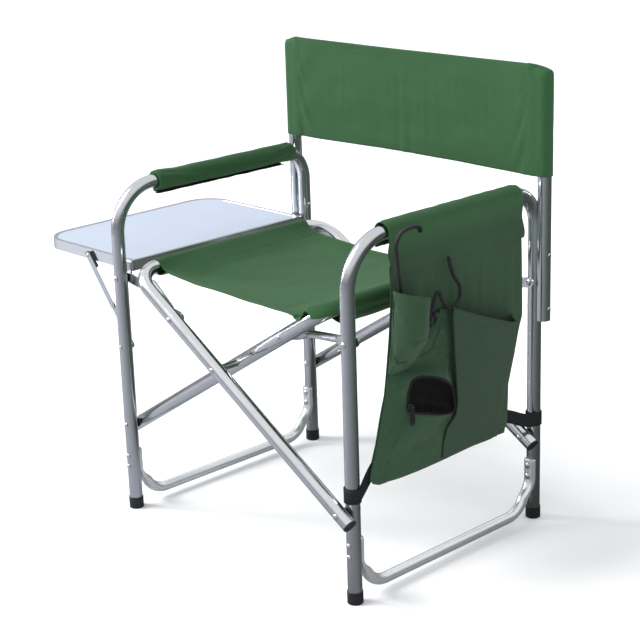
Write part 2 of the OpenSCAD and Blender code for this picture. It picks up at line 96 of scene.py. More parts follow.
def distances(line):
    """How far each point lies along a line."""
    return np.concatenate([[0], np.cumsum(np.linalg.norm(np.diff(line, axis=0), axis=1))])


def look_up(at, steps, table):
    """Rows of a table, read between its steps."""
    return np.stack([np.interp(at, steps, column) for column in table.T], axis=1)


def resample(line, spacing=None, count=None, closed=False):
    """The same line with its points at even steps."""
    line = np.array(line, float)
    steps = distances(line)
    count = count or max(3, int(round(steps[-1] / spacing)) + 1)
    at = np.linspace(0, steps[-1], count + 1 if closed else count)
    return look_up(at[:-1] if closed else at, steps, line)


def arc(radius, first, last, count):
    """Points on a circle between two angles in degrees."""
    return [(radius * math.cos(a), radius * math.sin(a)) for a in np.radians(np.linspace(first, last, count))]


def closed_ring(ring):
    return np.vstack([ring, ring[:1]])


def running_mean(values, reach):
    width = 2 * reach + 1
    return np.convolve(np.pad(values, reach, "edge"), np.ones(width) / width, "valid")


def along(z, table):
    """Looks a value up by height in a short list of (height, value)."""
    t = np.array(table, float)
    return np.interp(z, t[:, 0], t[:, 1])


def unit_grid(rows, cols):
    """Shares from 0 to 1 down the rows and across the columns."""
    return np.linspace(0, 1, rows)[:, None], np.linspace(0, 1, cols)[None, :]


def grid_normals(g, close_u=False):
    if close_u:
        du = np.roll(g, -1, 1) - np.roll(g, 1, 1)
    else:
        du = np.gradient(g, axis=1)
    n = np.cross(du, np.gradient(g, axis=0))
    return n / np.maximum(np.linalg.norm(n, axis=2, keepdims=True), 1e-9)


def ripple(x, y, seed, scale):
    """Smooth repeatable noise made of a few crossing waves, about -1 to 1."""
    r = np.random.default_rng(seed)
    total = np.zeros(np.broadcast(x, y).shape)
    for k in range(9):
        angle, phase = r.uniform(0, math.tau), r.uniform(0, math.tau)
        f = math.tau / scale * (1.0 + 0.9 * k / 3) * r.uniform(0.7, 1.2)
        total += np.sin(f * (x * math.cos(angle) + y * math.sin(angle)) + phase) / (1 + k / 2)
    return total / 2.6


# ------------------------------------------------------------- mesh building


def new_object(name, data):
    obj = bpy.data.objects.new(name, data)
    bpy.context.scene.collection.objects.link(obj)
    return obj


class Piece:
    """Collects surfaces, then becomes one object."""

    def __init__(self):
        self.verts, self.faces, self.uvs, self.mats = [], [], [], []
        self.count = 0

    def add(self, verts, faces, uvs, mat=0):
        """Points with the faces between them; returns the number of the first point."""
        start = self.count
        self.verts.append(np.asarray(verts, float))
        self.count += len(verts)
        self.join([[i + start for i in face] for face in faces], uvs, mat)
        return start

    def join(self, faces, uvs, mat):
        """Faces between points that are there already."""
        self.faces += faces
        self.uvs += uvs
        self.mats += [mat] * len(faces)

    def grid(self, g, close_u=False, close_v=False, mat=0, flip=False):
        """A surface through an array of points. UVs are lengths in metres along the cloth."""
        nv, nu = g.shape[:2]
        gu = np.concatenate([g, g[:, :1]], 1) if close_u else g
        gv = np.concatenate([g, g[:1]], 0) if close_v else g
        us, vs = (
            np.concatenate([[0], np.cumsum(np.linalg.norm(np.diff(a, axis=k), axis=2).mean(1 - k))]) / 1000
            for k, a in ((1, gu), (0, gv))
        )
        step = -1 if flip else 1
        faces, uvs = [], []
        for j in range(nv if close_v else nv - 1):
            for i in range(nu if close_u else nu - 1):
                row, next_row, side = j * nu, (j + 1) % nv * nu, (i + 1) % nu
                faces.append((row + i, row + side, next_row + side, next_row + i)[::step])
                uv = [(us[i], vs[j]), (us[i + 1], vs[j]), (us[i + 1], vs[j + 1]), (us[i], vs[j + 1])]
                uvs.append(uv[::step])
        return self.add(g.reshape(-1, 3), faces, uvs, mat)

    def solid(self, rings, mat=0, flip=False):
        """A closed body through a stack of rings."""
        g = np.array(rings)
        start = self.grid(g, close_u=True, mat=mat, flip=flip)
        sides = g.shape[1]
        low = [start + i for i in range(sides)]
        high = [i + (len(g) - 1) * sides for i in low]
        caps = [low, high[::-1]] if flip else [low[::-1], high]
        self.join(caps, [[(0, 0)] * sides] * 2, mat)

    def cloth(self, g, thick=1.2, close_u=False, inner_mat=0, inner=None):
        """A sheet with rounded edges: g is its outer side, and thick is one number or an array."""
        nv, nu = g.shape[:2]
        if inner is None:
            inner = g - grid_normals(g, close_u) * np.broadcast_to(thick, (nv, nu))[..., None]
        start = self.grid(g, close_u)
        self.grid(inner, close_u, mat=inner_mat, flip=True)
        first = list(range(nu))
        last = [(nv - 1) * nu + i for i in first][::-1]
        if close_u:
            self.rim(g, inner, first, start, True)
            self.rim(g, inner, last, start, True)
        else:
            right = [j * nu + nu - 1 for j in range(1, nv)]
            left = [j * nu for j in range(nv - 2, 0, -1)]
            self.rim(g, inner, first + right + last[1:] + left, start, False)

    def rim(self, g, inner, loop, start, close_u):
        """Joins a sheet's two sides along a loop of grid points, with a ridge halfway between them."""
        nv, nu = g.shape[:2]
        ridge = []
        for q in loop:
            j, i = divmod(q, nu)
            edges = [(j == 0, g[1, i]), (j == nv - 1, g[-2, i])]
            if not close_u:
                edges += [(i == 0, g[j, 1]), (i == nu - 1, g[j, -2])]
            out = sum(g[j, i] - within for at_edge, within in edges if at_edge)
            out /= max(np.linalg.norm(out), 1e-9)
            thick = np.linalg.norm(g[j, i] - inner[j, i])
            ridge.append((g[j, i] + inner[j, i]) / 2 + out * thick * 0.4)
        base = self.add(ridge, [], [])
        step, height = 0.002, 0.0006
        for k, q in enumerate(loop):
            after = (k + 1) % len(loop)
            a, b = start + q, start + loop[after]
            uv = [(k * step, 0), (k * step + step, 0), (k * step + step, height), (k * step, height)]
            upper = [b, a, base + k, base + after]
            lower = [base + after, base + k, a + nv * nu, b + nv * nu]
            self.join([upper, lower], [uv, uv], 0)

    def tube(self, path, radius, sides=10, squash=1.0):
        """A round cord along a path, with round ends."""
        tangent = unit(np.gradient(path, axis=0))
        side = np.cross(tangent[0], (0.0, 0.0, 1.0) if abs(tangent[0][2]) < 0.9 else (1.0, 0.0, 0.0))
        angles = np.arange(sides) * math.tau / sides
        g = []
        for point, ahead in zip(path, tangent):
            side -= ahead * side.dot(ahead)
            side /= np.linalg.norm(side)
            up = np.cross(side, ahead)
            ring = np.outer(np.cos(angles), side) + squash * np.outer(np.sin(angles), up)
            g.append(point + radius * ring)
        ends = []
        for end, s in ((0, -1), (-1, 1)):
            cap = []
            for q in (0.45, 0.8, 0.97):
                centre = path[end] + tangent[end] * s * radius * q * 0.8
                cap.append(centre + (g[end] - path[end]) * math.sqrt(1 - q * q))
            ends.append(cap)
        self.solid(ends[0][::-1] + g + ends[1], flip=True)

    def ribbon(self, path, across, width):
        """Flat webbing: across is the unit direction of its width at each path point."""
        normal = unit(np.cross(np.gradient(path, axis=0), across))
        half, t = width / 2, 0.8
        reach = np.linspace(-1, 1, 7) * (half - t * 0.4)
        shape = [(a, t) for a in reach] + [(half, t * 0.5), (half, -t * 0.5)]
        shape += [(-a, -t) for a in reach] + [(-half, -t * 0.5), (-half, t * 0.5)]
        self.solid([[q + w * a + n * b for a, b in shape] for q, w, n in zip(path, across, normal)])

    def stitches(self, path, normal, mat=2, length=3.0, gap=1.9, radius=0.42):
        """A row of short threads lying on a surface; normal is one direction or one at each point."""
        steps = distances(path)
        normal = np.broadcast_to(np.asarray(normal, float), path.shape)
        at = 1.0
        while at + length < steps[-1]:
            three = (at, at + length * 0.5, at + length)
            points, outs = look_up(three, steps, path), unit(look_up(three, steps, normal))
            ahead = unit(points[2] - points[0])
            rings = []
            # the thread's ends are thin and sink into the cloth, its middle stands up
            for point, out, share, lift in zip(points, outs, (0.55, 1.0, 0.55), (-0.1, 0.25, -0.1)):
                side = np.cross(ahead, out)
                around = arc(radius * share, 0, 300, 6)
                rings.append([point + out * lift + a * side + b * out for a, b in around])
            self.solid(rings, mat, flip=True)
            at += length + gap

    def hem(self, g, rows=(), cols=()):
        """Stitches along whole rows and columns of a sheet."""
        n = grid_normals(g)
        for row in rows:
            self.stitches(g[row], n[row])
        for col in cols:
            self.stitches(g[:, col], n[:, col])

    def build(self, name, *materials):
        verts = np.concatenate(self.verts) * 0.001
        verts[:, 0] += SHIFT * 0.001
        mesh = bpy.data.meshes.new(name)
        mesh.from_pydata([tuple(v) for v in verts], [], self.faces)
        layer = mesh.uv_layers.new(name="UVMap")
        layer.data.foreach_set("uv", np.array([c for t in self.uvs for c in t], np.float32).ravel())
        mesh.polygons.foreach_set("material_index", self.mats)
        mesh.polygons.foreach_set("use_smooth", [True] * len(self.mats))
        for m in materials:
            mesh.materials.append(m)
        mesh.validate()
        return new_object(name, mesh)

    def place(self, name, body, slot, stands_for, *materials):
        """Builds the piece and sets its body and the CAD nodes it stands for; the slot is not used."""
        obj = self.build(name, *materials)
        if body:
            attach(obj, body)
        if stands_for:
            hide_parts(*stands_for)
        return obj


def drape(g, pin, frames, cap, stiff, bending, shrink=0.0, gravity=1.0, close_u=False, pressure=0.0):
    """Cloth simulation of a grid of points. pin is 1 where it is held, and no point moves further than
    cap. Returns the settled points."""
    nv, nu = g.shape[:2]
    p = Piece()
    p.grid(g, close_u)
    obj = p.build("drape")
    group = obj.vertex_groups.new(name="pin")
    for i, w in enumerate(np.broadcast_to(pin, (nv, nu)).ravel()):
        if w > 0:
            group.add([i], float(w), "REPLACE")
    cloth = obj.modifiers.new("cloth", "CLOTH")
    settings = {
        "quality": 7, "mass": 0.35, "air_damping": 3, "shrink_min": shrink, "vertex_group_mass": "pin",
        "tension_stiffness": stiff, "compression_stiffness": stiff, "shear_stiffness": stiff / 3,
        "bending_stiffness": bending, "use_pressure": pressure > 0, "uniform_pressure_force": pressure,
    }
    for key, value in settings.items():
        setattr(cloth.settings, key, value)
    cloth.settings.effector_weights.gravity = gravity
    cloth.collision_settings.use_collision = False
    cloth.point_cache.frame_start = 1
    cloth.point_cache.frame_end = frames
    scene = bpy.context.scene
    for f in range(1, frames + 1):
        scene.frame_set(f)
    done = obj.evaluated_get(bpy.context.evaluated_depsgraph_get())
    settled = np.array([v.co for v in done.data.vertices], float).reshape(nv, nu, 3) * 1000
    settled[..., 0] -= SHIFT
    bpy.data.objects.remove(obj)
    scene.frame_set(1)
    move = settled - g
    size = np.linalg.norm(move, axis=2, keepdims=True)
    return g + move * np.minimum(1, cap / np.maximum(size, 1e-9))


# ------------------------------------------------------------------ materials


def shade(colour, share):
    return tuple(min(1, c * share) for c in colour)


class Tree:
    """Short hand for building a node tree. An input takes a value or another node's output."""

    def __init__(self, tree):
        self.tree = tree

    def node(self, kind, **inputs):
        """p_name sets a property, i3 the fourth input, and any other name the input of that name."""
        n = self.tree.nodes.new(kind)
        for key, value in inputs.items():
            if key.startswith("p_"):
                setattr(n, key[2:], value)
            else:
                self.fill(n.inputs[int(key[1:]) if key[1:].isdigit() else key], value)
        return n

    def fill(self, socket, value):
        if hasattr(value, "is_linked"):
            self.tree.links.new(value, socket)
        else:
            socket.default_value = value

    def math(self, op, a, b=0.0, c=0.0):
        return self.node("ShaderNodeMath", p_operation=op, i0=a, i1=b, i2=c).outputs[0]

    def times(self, a, b, plus=0.0):
        """a * b + plus"""
        return self.math("MULTIPLY_ADD", a, b, plus)

    def noise(self, vector, scale, detail=3.0, rough=0.55):
        n = self.node("ShaderNodeTexNoise", Vector=vector, Scale=scale, Detail=detail, Roughness=rough)
        return n.outputs["Fac"]

    def mix(self, share, a, b):
        """Two colours mixed by a value."""
        a, b = ((*c, 1) if isinstance(c, tuple) else c for c in (a, b))
        return self.node("ShaderNodeMix", p_data_type="RGBA", i0=share, i6=a, i7=b).outputs[2]

    def stretched(self, vector, scale):
        return self.node("ShaderNodeMapping", Vector=vector, Scale=scale).outputs[0]

    def xyz(self, vector):
        return self.node("ShaderNodeSeparateXYZ", i0=vector).outputs

    def rightness(self, direction):
        """How far a direction points to the camera's right: 0 to its left, 1 to its right."""
        across = (math.cos(CAMERA_TURN), math.sin(CAMERA_TURN), 0.0)
        dot = self.node("ShaderNodeVectorMath", p_operation="DOT_PRODUCT", i0=direction, i1=across)
        return self.times(dot.outputs["Value"], 0.5, 0.5)

    def mirrored(self):
        """1 where a surface is only seen mirrored in another one."""
        return self.node("ShaderNodeLightPath").outputs["Is Glossy Ray"]


class Material(Tree):
    """A material round one Principled shader."""

    def __init__(self, name, base, roughness, metallic=0.0):
        self.mat = bpy.data.materials.new(name)
        self.mat.use_nodes = True
        self.mat.diffuse_color = (*base, 1)
        super().__init__(self.mat.node_tree)
        self.shader = self.tree.nodes["Principled BSDF"]
        self.set("Base Color", (*base, 1))
        self.set("Metallic", metallic)
        self.set("Roughness", roughness)

    def set(self, name, value):
        self.fill(self.shader.inputs[name], value)

    def place(self):
        """The place on the object, in metres."""
        return self.node("ShaderNodeTexCoord").outputs["Object"]

    def cloth_place(self):
        """The place along the cloth, in metres, whole and in its parts."""
        uv = self.node("ShaderNodeUVMap", p_uv_map="UVMap").outputs[0]
        return uv, *self.xyz(uv)[:2]

    def relief(self, height, distance, strength, **under):
        n = self.node("ShaderNodeBump", Height=height, Distance=distance, Strength=strength, **under)
        self.set("Normal", n.outputs[0])
        return n.outputs[0]


def woven(name, dark, light, pitch=1.0, depth=0.00012, rough=0.9, sheen=0.06, below=None):
    """Plain weave: threads pass over and under each other; below is the tone it fades to under the arm,
    painted shade there.
    """
    m = Material(name, light, rough)
    uv, u, v = m.cloth_place()
    waves = 1000.0 / pitch * math.pi
    wobble = m.noise(uv, 260.0, 2.0)
    u = m.times(u, waves, m.times(wobble, 1.2))
    v = m.times(v, waves, m.times(wobble, 0.9))

    def threads(a, b):
        """Height of the threads across a: rounded, and lifted and sunk in turn by the ones they cross."""
        ridge = m.math("SINE", a)
        lift = m.times(m.times(m.math("COSINE", b), ridge), 0.5, 0.5)
        return m.times(m.math("ABSOLUTE", ridge), lift)

    height = m.math("MAXIMUM", threads(u, v), threads(v, u))
    place = m.place()
    slubs = m.noise(m.stretched(uv, (900, 60, 1)), 1.0, 2.0)
    patches = m.math("SUBTRACT", m.noise(place, 9.0, 4.0), 0.5)
    # tone: random patches and slubs in the yarn, plus painted shade from the weave's height: hollows between
    # threads darker, crowns lighter
    tone = m.times(patches, 0.25, m.times(height, 0.55, m.times(slubs, 0.25)))
    colour = m.mix(tone, dark, light)
    # under the arm the colour fades to the below tone: painted shade
    if below:
        up = m.node("ShaderNodeMapRange", i0=m.xyz(place)[2], i1=0.578, i2=0.618).outputs[0]
        colour = m.mix(up, m.mix(tone, *below), colour)
    m.set("Base Color", colour)
    creases = m.relief(m.noise(place, 38.0), 0.0010, 0.35)
    m.relief(height, depth, 0.8, Normal=creases)
    m.set("Sheen Weight", sheen)
    m.set("Sheen Roughness", 0.6)
    m.set("Specular IOR Level", 0.15)
    return m.mat


def webbing(name, colour):
    """Ribbed black webbing: ribs across the UV length."""
    m = Material(name, colour, 0.75)
    _, u, v = m.cloth_place()
    waves = 1000.0 / 1.6 * math.tau
    ribs = m.math("SINE", m.times(v, waves))
    height = m.times(m.math("SINE", m.times(u, waves * 1.7)), 0.3, ribs)
    # painted shade: the hollows between ribs darker and the crests lighter
    m.set("Base Color", m.mix(m.times(height, 0.25, 0.4), shade(colour, 0.55), shade(colour, 1.5)))
    m.relief(height, 0.00015, 0.7)
    m.set("Specular IOR Level", 0.3)
    return m.mat


def cord(name, colour):
    """Braided elastic: two sets of strands that cross."""
    m = Material(name, colour, 0.7)
    _, u, v = m.cloth_place()
    waves = 1000.0 / 2.4 * math.tau
    strands = [m.math("SINE", m.times(m.math(way, u, v), waves)) for way in ("ADD", "SUBTRACT")]
    height = m.math("MAXIMUM", *strands)
    # painted shade: the hollows between strands darker and the crests lighter
    m.set("Base Color", m.mix(m.times(height, 0.3, 0.4), shade(colour, 0.5), shade(colour, 1.6)))
    m.relief(height, 0.0003, 0.8)
    return m.mat


def tube_metal(name, base, rough, stretch, metal=1.0):
    """Satin drawn aluminium: fine lines along the tube, faint handling marks and a soft tint."""
    m = Material(name, base, rough, metal)
    lines = m.noise(m.stretched(m.place(), stretch), 1.0, 5.0, 0.65)
    marks = m.noise(m.place(), 22.0, 4.0)
    scuffs = m.noise(m.place(), 160.0, 2.0)
    m.set("Roughness", m.times(m.math("SUBTRACT", marks, 0.5), 0.16, m.times(lines, 0.16, rough - 0.09)))
    tone = m.times(marks, 0.5, m.times(scuffs, 0.4))
    m.set("Base Color", m.mix(tone, shade(base, 0.90), shade(base, 1.05)))
    m.relief(lines, 0.00001, 0.5)
    return m.mat


def plastic(name, colour, rough):
    """Moulded plastic with a fine spark-eroded grain."""
    m = Material(name, colour, rough)
    m.relief(m.noise(m.place(), 900.0, 2.0), 0.00008, 0.6)
    m.set("Roughness", m.times(m.noise(m.place(), 40.0), 0.25, rough - 0.12))
    return m.mat


def sheet_metal():
    """Pale coated sheet with a very fine mottled texture."""
    m = Material("table_sheet", (0.66, 0.68, 0.76), 0.34)
    fine, broad = m.noise(m.place(), 420.0), m.noise(m.place(), 14.0)
    tone = m.times(fine, 0.35, m.times(broad, 0.45))
    m.set("Base Color", m.mix(tone, (0.42, 0.475, 0.58), (0.53, 0.59, 0.71)))
    m.relief(fine, 0.00008, 0.4)
    m.set("Roughness", m.times(broad, 0.12, 0.28))
    m.set("Coat Weight", 0.2)
    return m.mat


CAMERA_TURN = math.radians(46.44)

GREENS = (0.017, 0.060, 0.022), (0.044, 0.130, 0.048)
# the organizer's cloth: darker, greyer greens, painted shade for its side that faces away from the lamps
SHADED_SIDE_GREENS = (0.0175, 0.044, 0.0225), (0.043, 0.094, 0.048)
green = woven("green_weave", *GREENS)
# the inner side of the cloth: the face greens at 0.7, painted shade for undersides and insides
inside = woven("green_inside_painted_shade", *(shade(c, 0.7) for c in GREENS))
shaded_side_green = woven("green_weave_shaded_side", *SHADED_SIDE_GREENS)
# the magazine pocket: greens darker still, painted shade
deeper_shade_green = woven("green_weave_deeper_shade", (0.0170, 0.038, 0.0215), (0.041, 0.080, 0.046))
# the arm's wrap: painted shade fading in under the arm
arm_cloth = woven("green_weave_arm", *GREENS, below=SHADED_SIDE_GREENS)
thread = plastic("green_thread", (0.035, 0.10, 0.045), 0.6)
FABRIC = inside, thread
black_web = webbing("black_webbing", (0.014, 0.014, 0.016))
black_cord = cord("black_cord", (0.014, 0.014, 0.016))
black_plastic = plastic("black_plastic", (0.012, 0.012, 0.013), 0.48)
# near black: painted shadow inside the zip pocket's open mouth
lining_painted_shadow = woven("pocket_lining_painted_shadow", (0.002, 0.002, 0.002), (0.006, 0.006, 0.007), sheen=0.02)
fluff = woven("hook_and_loop", (0.002, 0.002, 0.002), (0.016, 0.016, 0.017), 0.8, 0.0006, 1.0)
metal_up = tube_metal("satin_tube", (0.66, 0.67, 0.69), 0.20, (420, 420, 6))
metal_along = tube_metal("satin_tube_level", (0.84, 0.85, 0.86), 0.20, (420, 8, 420), metal=0.72)
metal_slant = tube_metal("satin_tube_slant", (0.74, 0.75, 0.77), 0.18, (60, 420, 60))
rivet_metal = tube_metal("rivet_metal", (0.74, 0.75, 0.77), 0.26, (90, 90, 90))
strip_metal = tube_metal("pressed_strip", (0.68, 0.70, 0.73), 0.34, (60, 300, 60))
rim_metal = tube_metal("bright_rim", (0.84, 0.85, 0.87), 0.20, (12, 12, 500))


def both(*stems):
    """The names of a right and a left node."""
    return [stem + end for stem in stems for end in ("_r", "_l")]


NODE_LOOKS = {
    metal_up: both("back_post", "side_frame"),
    metal_slant: both("x_tube", "link_front", "link_rear"),
    rivet_metal: both("stretcher_rivets", "post_rivets", "leg_pivots", "link_pivots", "link_studs")
    + ["brace_pivots", "cross_pivots", "brace_studs", "knee_rivets", "cross_spacers"],
    strip_metal: ["brace_upper", "brace_lower", "table_brackets"],
    rim_metal: ["table_rim"],
    black_plastic: both("foot_caps", "pivot_spacers", "x_plugs") + ["brace_blocks"],
    sheet_metal(): ["table_top"],
}
for look, names in NODE_LOOKS.items():
    for name in names:
        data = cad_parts[name].data
        data.materials.clear()
        data.materials.append(look)


# -------------------------------------------------------------------- the seat

# the left rail's front bend: where it starts, its radius, and how far its plane leans in and down
BEND_Y, BEND, LEAN, RISE = -156.0, 50.0, 0.848, 0.53
SEAT_EDGE, SEAT_TOP, SEAT_SAG = 211.5, 503.0, 31.0
SEAT_FRONT, SEAT_REAR, SEAT_SLANT = -213, 160, 4
SLEEVE = 14.6  # radius of a fabric sleeve round a rail or a post
CLOTH_GAP = 14.3  # from the left rail's centreline to cloth that lies on it
FRONT_SAG = [
    (-211.5, 503), (-206.5, 500), (-202, 493.5), (-196, 488), (-186, 484), (-152, 480), (-107, 477),
    (-54, 475.5), (0, 474), (57, 472.5), (106, 471.5), (150, 470.5), (180, 471.5), (202, 490),
    (206.5, 500), (211.5, 503),
]
REAR_SAG = [
    (-211.5, 503), (-206.5, 500), (-202, 494), (-194, 489), (-180, 485), (-150, 481), (-100, 477), (-40, 473),
    (40, 472), (120, 476), (165, 482), (190, 489), (202, 494), (206.5, 500), (211.5, 503),
]


def seat_z(x, v):
    """Height of the seat sheet: slack edges that turn down quickly inside the rails, a softer sag between."""
    middle = SEAT_TOP - SEAT_SAG * (1 - (np.clip(np.abs(x), 0, SEAT_EDGE) / SEAT_EDGE) ** 2.6)
    near = 1 - smooth(v / 0.34)
    far = smooth((v - 0.66) / 0.34)
    return middle * (1 - near - far) + along(x, FRONT_SAG) * near + along(x, REAR_SAG) * far


def rail_line():
    """Centreline of the left rail: straight, then its front bend, then a piece of the slanted tube."""
    points = [(RAIL_X, y, RAIL_Z) for y in np.arange(170, BEND_Y, -4.0)]
    for t in np.radians(np.arange(0, 90, 3)):
        drop = BEND * (1 - math.cos(t))
        points.append((RAIL_X - LEAN * drop, BEND_Y - BEND * math.sin(t), RAIL_Z - RISE * drop))
    for k in np.arange(0, 80, 4.0):
        points.append((RAIL_X - LEAN * (BEND + k), BEND_Y - BEND, RAIL_Z - RISE * (BEND + k)))
    return np.array(points)


RAIL_LINE = rail_line()


def over_rail(x, y):
    """Height at which cloth rests on the left rail, or a very low number beside it."""
    d2 = (x[..., None] - RAIL_LINE[:, 0]) ** 2 + (y[..., None] - RAIL_LINE[:, 1]) ** 2
    rise = np.sqrt(np.maximum(CLOTH_GAP**2 - d2, 0))
    return np.where(d2 < CLOTH_GAP**2, RAIL_LINE[:, 2] + rise, -1e3).max(-1)


def crest_drop(y):
    """How far down its slant the crest of the left rail's bend lies at the depth y."""
    return BEND * (1 - np.sqrt(1 - np.clip((BEND_Y - y) / BEND, 0, 1) ** 2))


def seat_sheet(v, xs):
    """The sheet between the rails, and its front edge at the left rail."""
    X, V = np.meshgrid(xs, v)
    front = SEAT_FRONT - SEAT_SLANT * smooth((X - 140) / 40)
    Y = front * (1 - V) + (SEAT_REAR + SEAT_SLANT * X / RAIL_X) * V
    Z = seat_z(X, V) + 0.8 * ripple(X, Y, 3, 150) * smooth((211 - np.abs(X)) / 30)
    # towards the front the sheet's left edge follows the bend of the rail
    follows = 120.0
    Z -= RISE * crest_drop(Y) * smooth((X - 168) / 43)
    edge = RAIL_X - LEAN * crest_drop(Y) - 4.5
    X = np.where(X > follows, follows + (X - follows) * (edge - follows) / (SEAT_EDGE - follows), X)
    start = np.stack([X, Y, np.maximum(Z, over_rail(X, Y))], 2)
    held = (np.abs(xs) > 203)[None, :] | (V < 0.02) | (V > 0.98) | ((X > 140) & (Y < -140))
    pin = np.where(held, 1.0, 0.0)
    return drape(start, pin, frames=22, cap=7, stiff=22, bending=0.35, shrink=-0.008), Y[0, -1]


def seat_sleeve(side, sheet, front, v, xs):
    """A sleeve leaves the sheet over its rail, comes back under it and is sewn at the seam line."""
    # its cross-section from the rail's centre, as (towards the chair's middle, up)
    upper = arc(SLEEVE, 80, 232, 20)
    if side < 0:
        lower = [upper[-1], (1, -15.6), (14, -14.2), (26, -9.5), (36, -6.5), (44, -5.6)]
    else:
        lower = [upper[-1], (-7, -22), (2, -31), (16, -36), (34, -33), (50, -25), (62, -18)]
    line = resample(np.vstack([upper[:-1], curve(lower, spacing=4.0)]), spacing=4.0)
    columns = []
    closing = 9
    for k, (a, z) in enumerate(line[1:]):
        lift = smooth(-z / 12.0)
        if side > 0:
            near = front + (-157 - front) * lift
            y = near + v * (SEAT_REAR + SEAT_SLANT - near)
            turn = np.arcsin(np.clip((BEND_Y - y) / (BEND + CLOTH_GAP), 0, 1))
            outer = RAIL_X - LEAN * BEND * (1 - np.cos(turn)) + 14.8 * np.cos(turn)
            ridge = RAIL_X - LEAN * crest_drop(y)
            x = ridge + (outer - ridge) * min(1.0, -a / SLEEVE) if a < 0 else ridge - a
            height = RAIL_Z - RISE * BEND * (1 - np.cos(turn)) + z
            if z > 0:
                height = np.maximum(height, over_rail(x, y))
        else:
            y = SEAT_FRONT + v * (SEAT_REAR - SEAT_SLANT - SEAT_FRONT)
            x = np.full(len(v), a - RAIL_X)
            height = np.full(len(v), RAIL_Z + z)
        steps_left = len(line) - k
        if steps_left < closing:
            # the last steps close on the underside of the sheet
            i = int(np.argmin(np.abs(xs - side * (RAIL_X - a))))
            w = smooth((closing - steps_left) / (closing - 2))
            under = np.interp(y, sheet[:, i, 1], sheet[:, i, 2]) - 2.8
            height = height * (1 - w) + under * w
        wave = 0.8 * ripple(y, y * 0 + a, 11 + side, 90) * lift
        columns.append(np.stack([x, y, height + wave], 1))
    return np.array(columns).transpose(1, 0, 2)


def make_seat():
    rows = 90
    v = np.linspace(0, 1, rows) ** 1.12
    xs = np.linspace(-SEAT_EDGE, SEAT_EDGE, 112)
    sheet, front = seat_sheet(v, xs)
    right, left = (seat_sleeve(side, sheet, front, v, xs) for side in (-1, 1))
    whole = np.concatenate([right[:, ::-1], sheet, left], 1)
    depth, hem_width = 370, 12
    hem = smooth(1 - np.minimum(v, 1 - v) * depth / hem_width)
    p = Piece()
    p.cloth(whole, np.tile((1.2 + 0.9 * hem)[:, None], (1, whole.shape[1])), inner_mat=1)
    normals = grid_normals(whole)
    first = right.shape[1]
    for row in (3, rows - 3):
        keep = slice(first - 6, first + len(xs))
        p.stitches(whole[row, keep], normals[row, keep])
    for x in (-172, 154):
        i = first + int(np.argmin(np.abs(xs - x)))
        for column in (i, i + (1 if x > 0 else -1)):
            p.stitches(whole[6:, column], normals[6:, i])
    stands_for = ["seat_panel", "seat_sleeve_r", "seat_sleeve_l"]
    seat = p.place("seat_fabric", None, CLOTH, stands_for, green, *FABRIC)
    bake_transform(seat)


# -------------------------------------------------------------------- the back

BACK_LOW, BACK_TOP, SEAM_X = 651.0, 846.0, 287.0
CLOSING = 9  # rings that close a sleeve over its post


def back_top(x):
    """The top edge drops a little over the posts."""
    return BACK_TOP - 9.5 * smooth((np.abs(x) - 286) / 46) ** 1.2


def make_back_sleeve(side):
    """A sleeve round one post, open below and closed over the post's top."""
    seam = POST_X - SEAM_X
    loop = [(-seam, -13.4), (-16, -14.3), (-7, -SLEEVE)]
    loop += arc(SLEEVE, -90, 96, 17)
    loop += [(-7, 13.4), (-16, 6.0), (-24, -3.0), (-seam, -9.6)]
    loop = resample(loop, count=50)
    outer = []
    for z in BACK_LOW + np.linspace(0, 174, 34):
        wave = 0.5 * ripple(loop[:, 0] * 2, loop[:, 0] * 0 + z, 21 + side, 60)
        outer.append([(a * (1 + 0.02 * w), b + 0.5 * w, z) for (a, b), w in zip(loop, wave)])
    for t in np.linspace(0.15, 1, CLOSING):
        closing = max(math.sqrt(max(0.0, 1 - (t * 0.995) ** 2)), 0.06)
        ring = []
        for a, b in loop:
            mid = -2.0 - 9.0 * smooth(-a / 29)
            ring.append((a, mid + (b - mid) * closing, 825 + (back_top(POST_X + a) - 825) * t))
        outer.append(ring)
    outer = np.array(outer, float)
    centre = np.array([-3.0, -2.2])
    inner = outer.copy()
    inner[..., :2] = centre + (outer[..., :2] - centre) * 0.93
    inner[-CLOSING:, :, 2] -= np.linspace(0.2, 1.2, CLOSING)[:, None]

    def at_post(g):
        out = g * (side, 1, 1) + (side * POST_X, POST_Y, 0)
        return out[:, ::-1] if side < 0 else out

    p = Piece()
    p.cloth(at_post(outer), close_u=True, inner_mat=1, inner=at_post(inner))
    seam_line = np.array([(side * (SEAM_X + 8), POST_Y + 0.5, z) for z in np.linspace(654, 822, 60)])
    p.stitches(seam_line, (-side * 0.66, 0.75, 0))
    out = np.array([(side * a, b, 0) for a, b in resample(loop, count=60)])
    p.stitches(out * 1.02 + (side * POST_X, POST_Y, BACK_LOW + 11), unit(out))
    end = "l" if side > 0 else "r"
    p.place("back_sleeve_fabric_" + end, "frame_" + end, CLOTH, ["back_sleeve_" + end], green, *FABRIC)


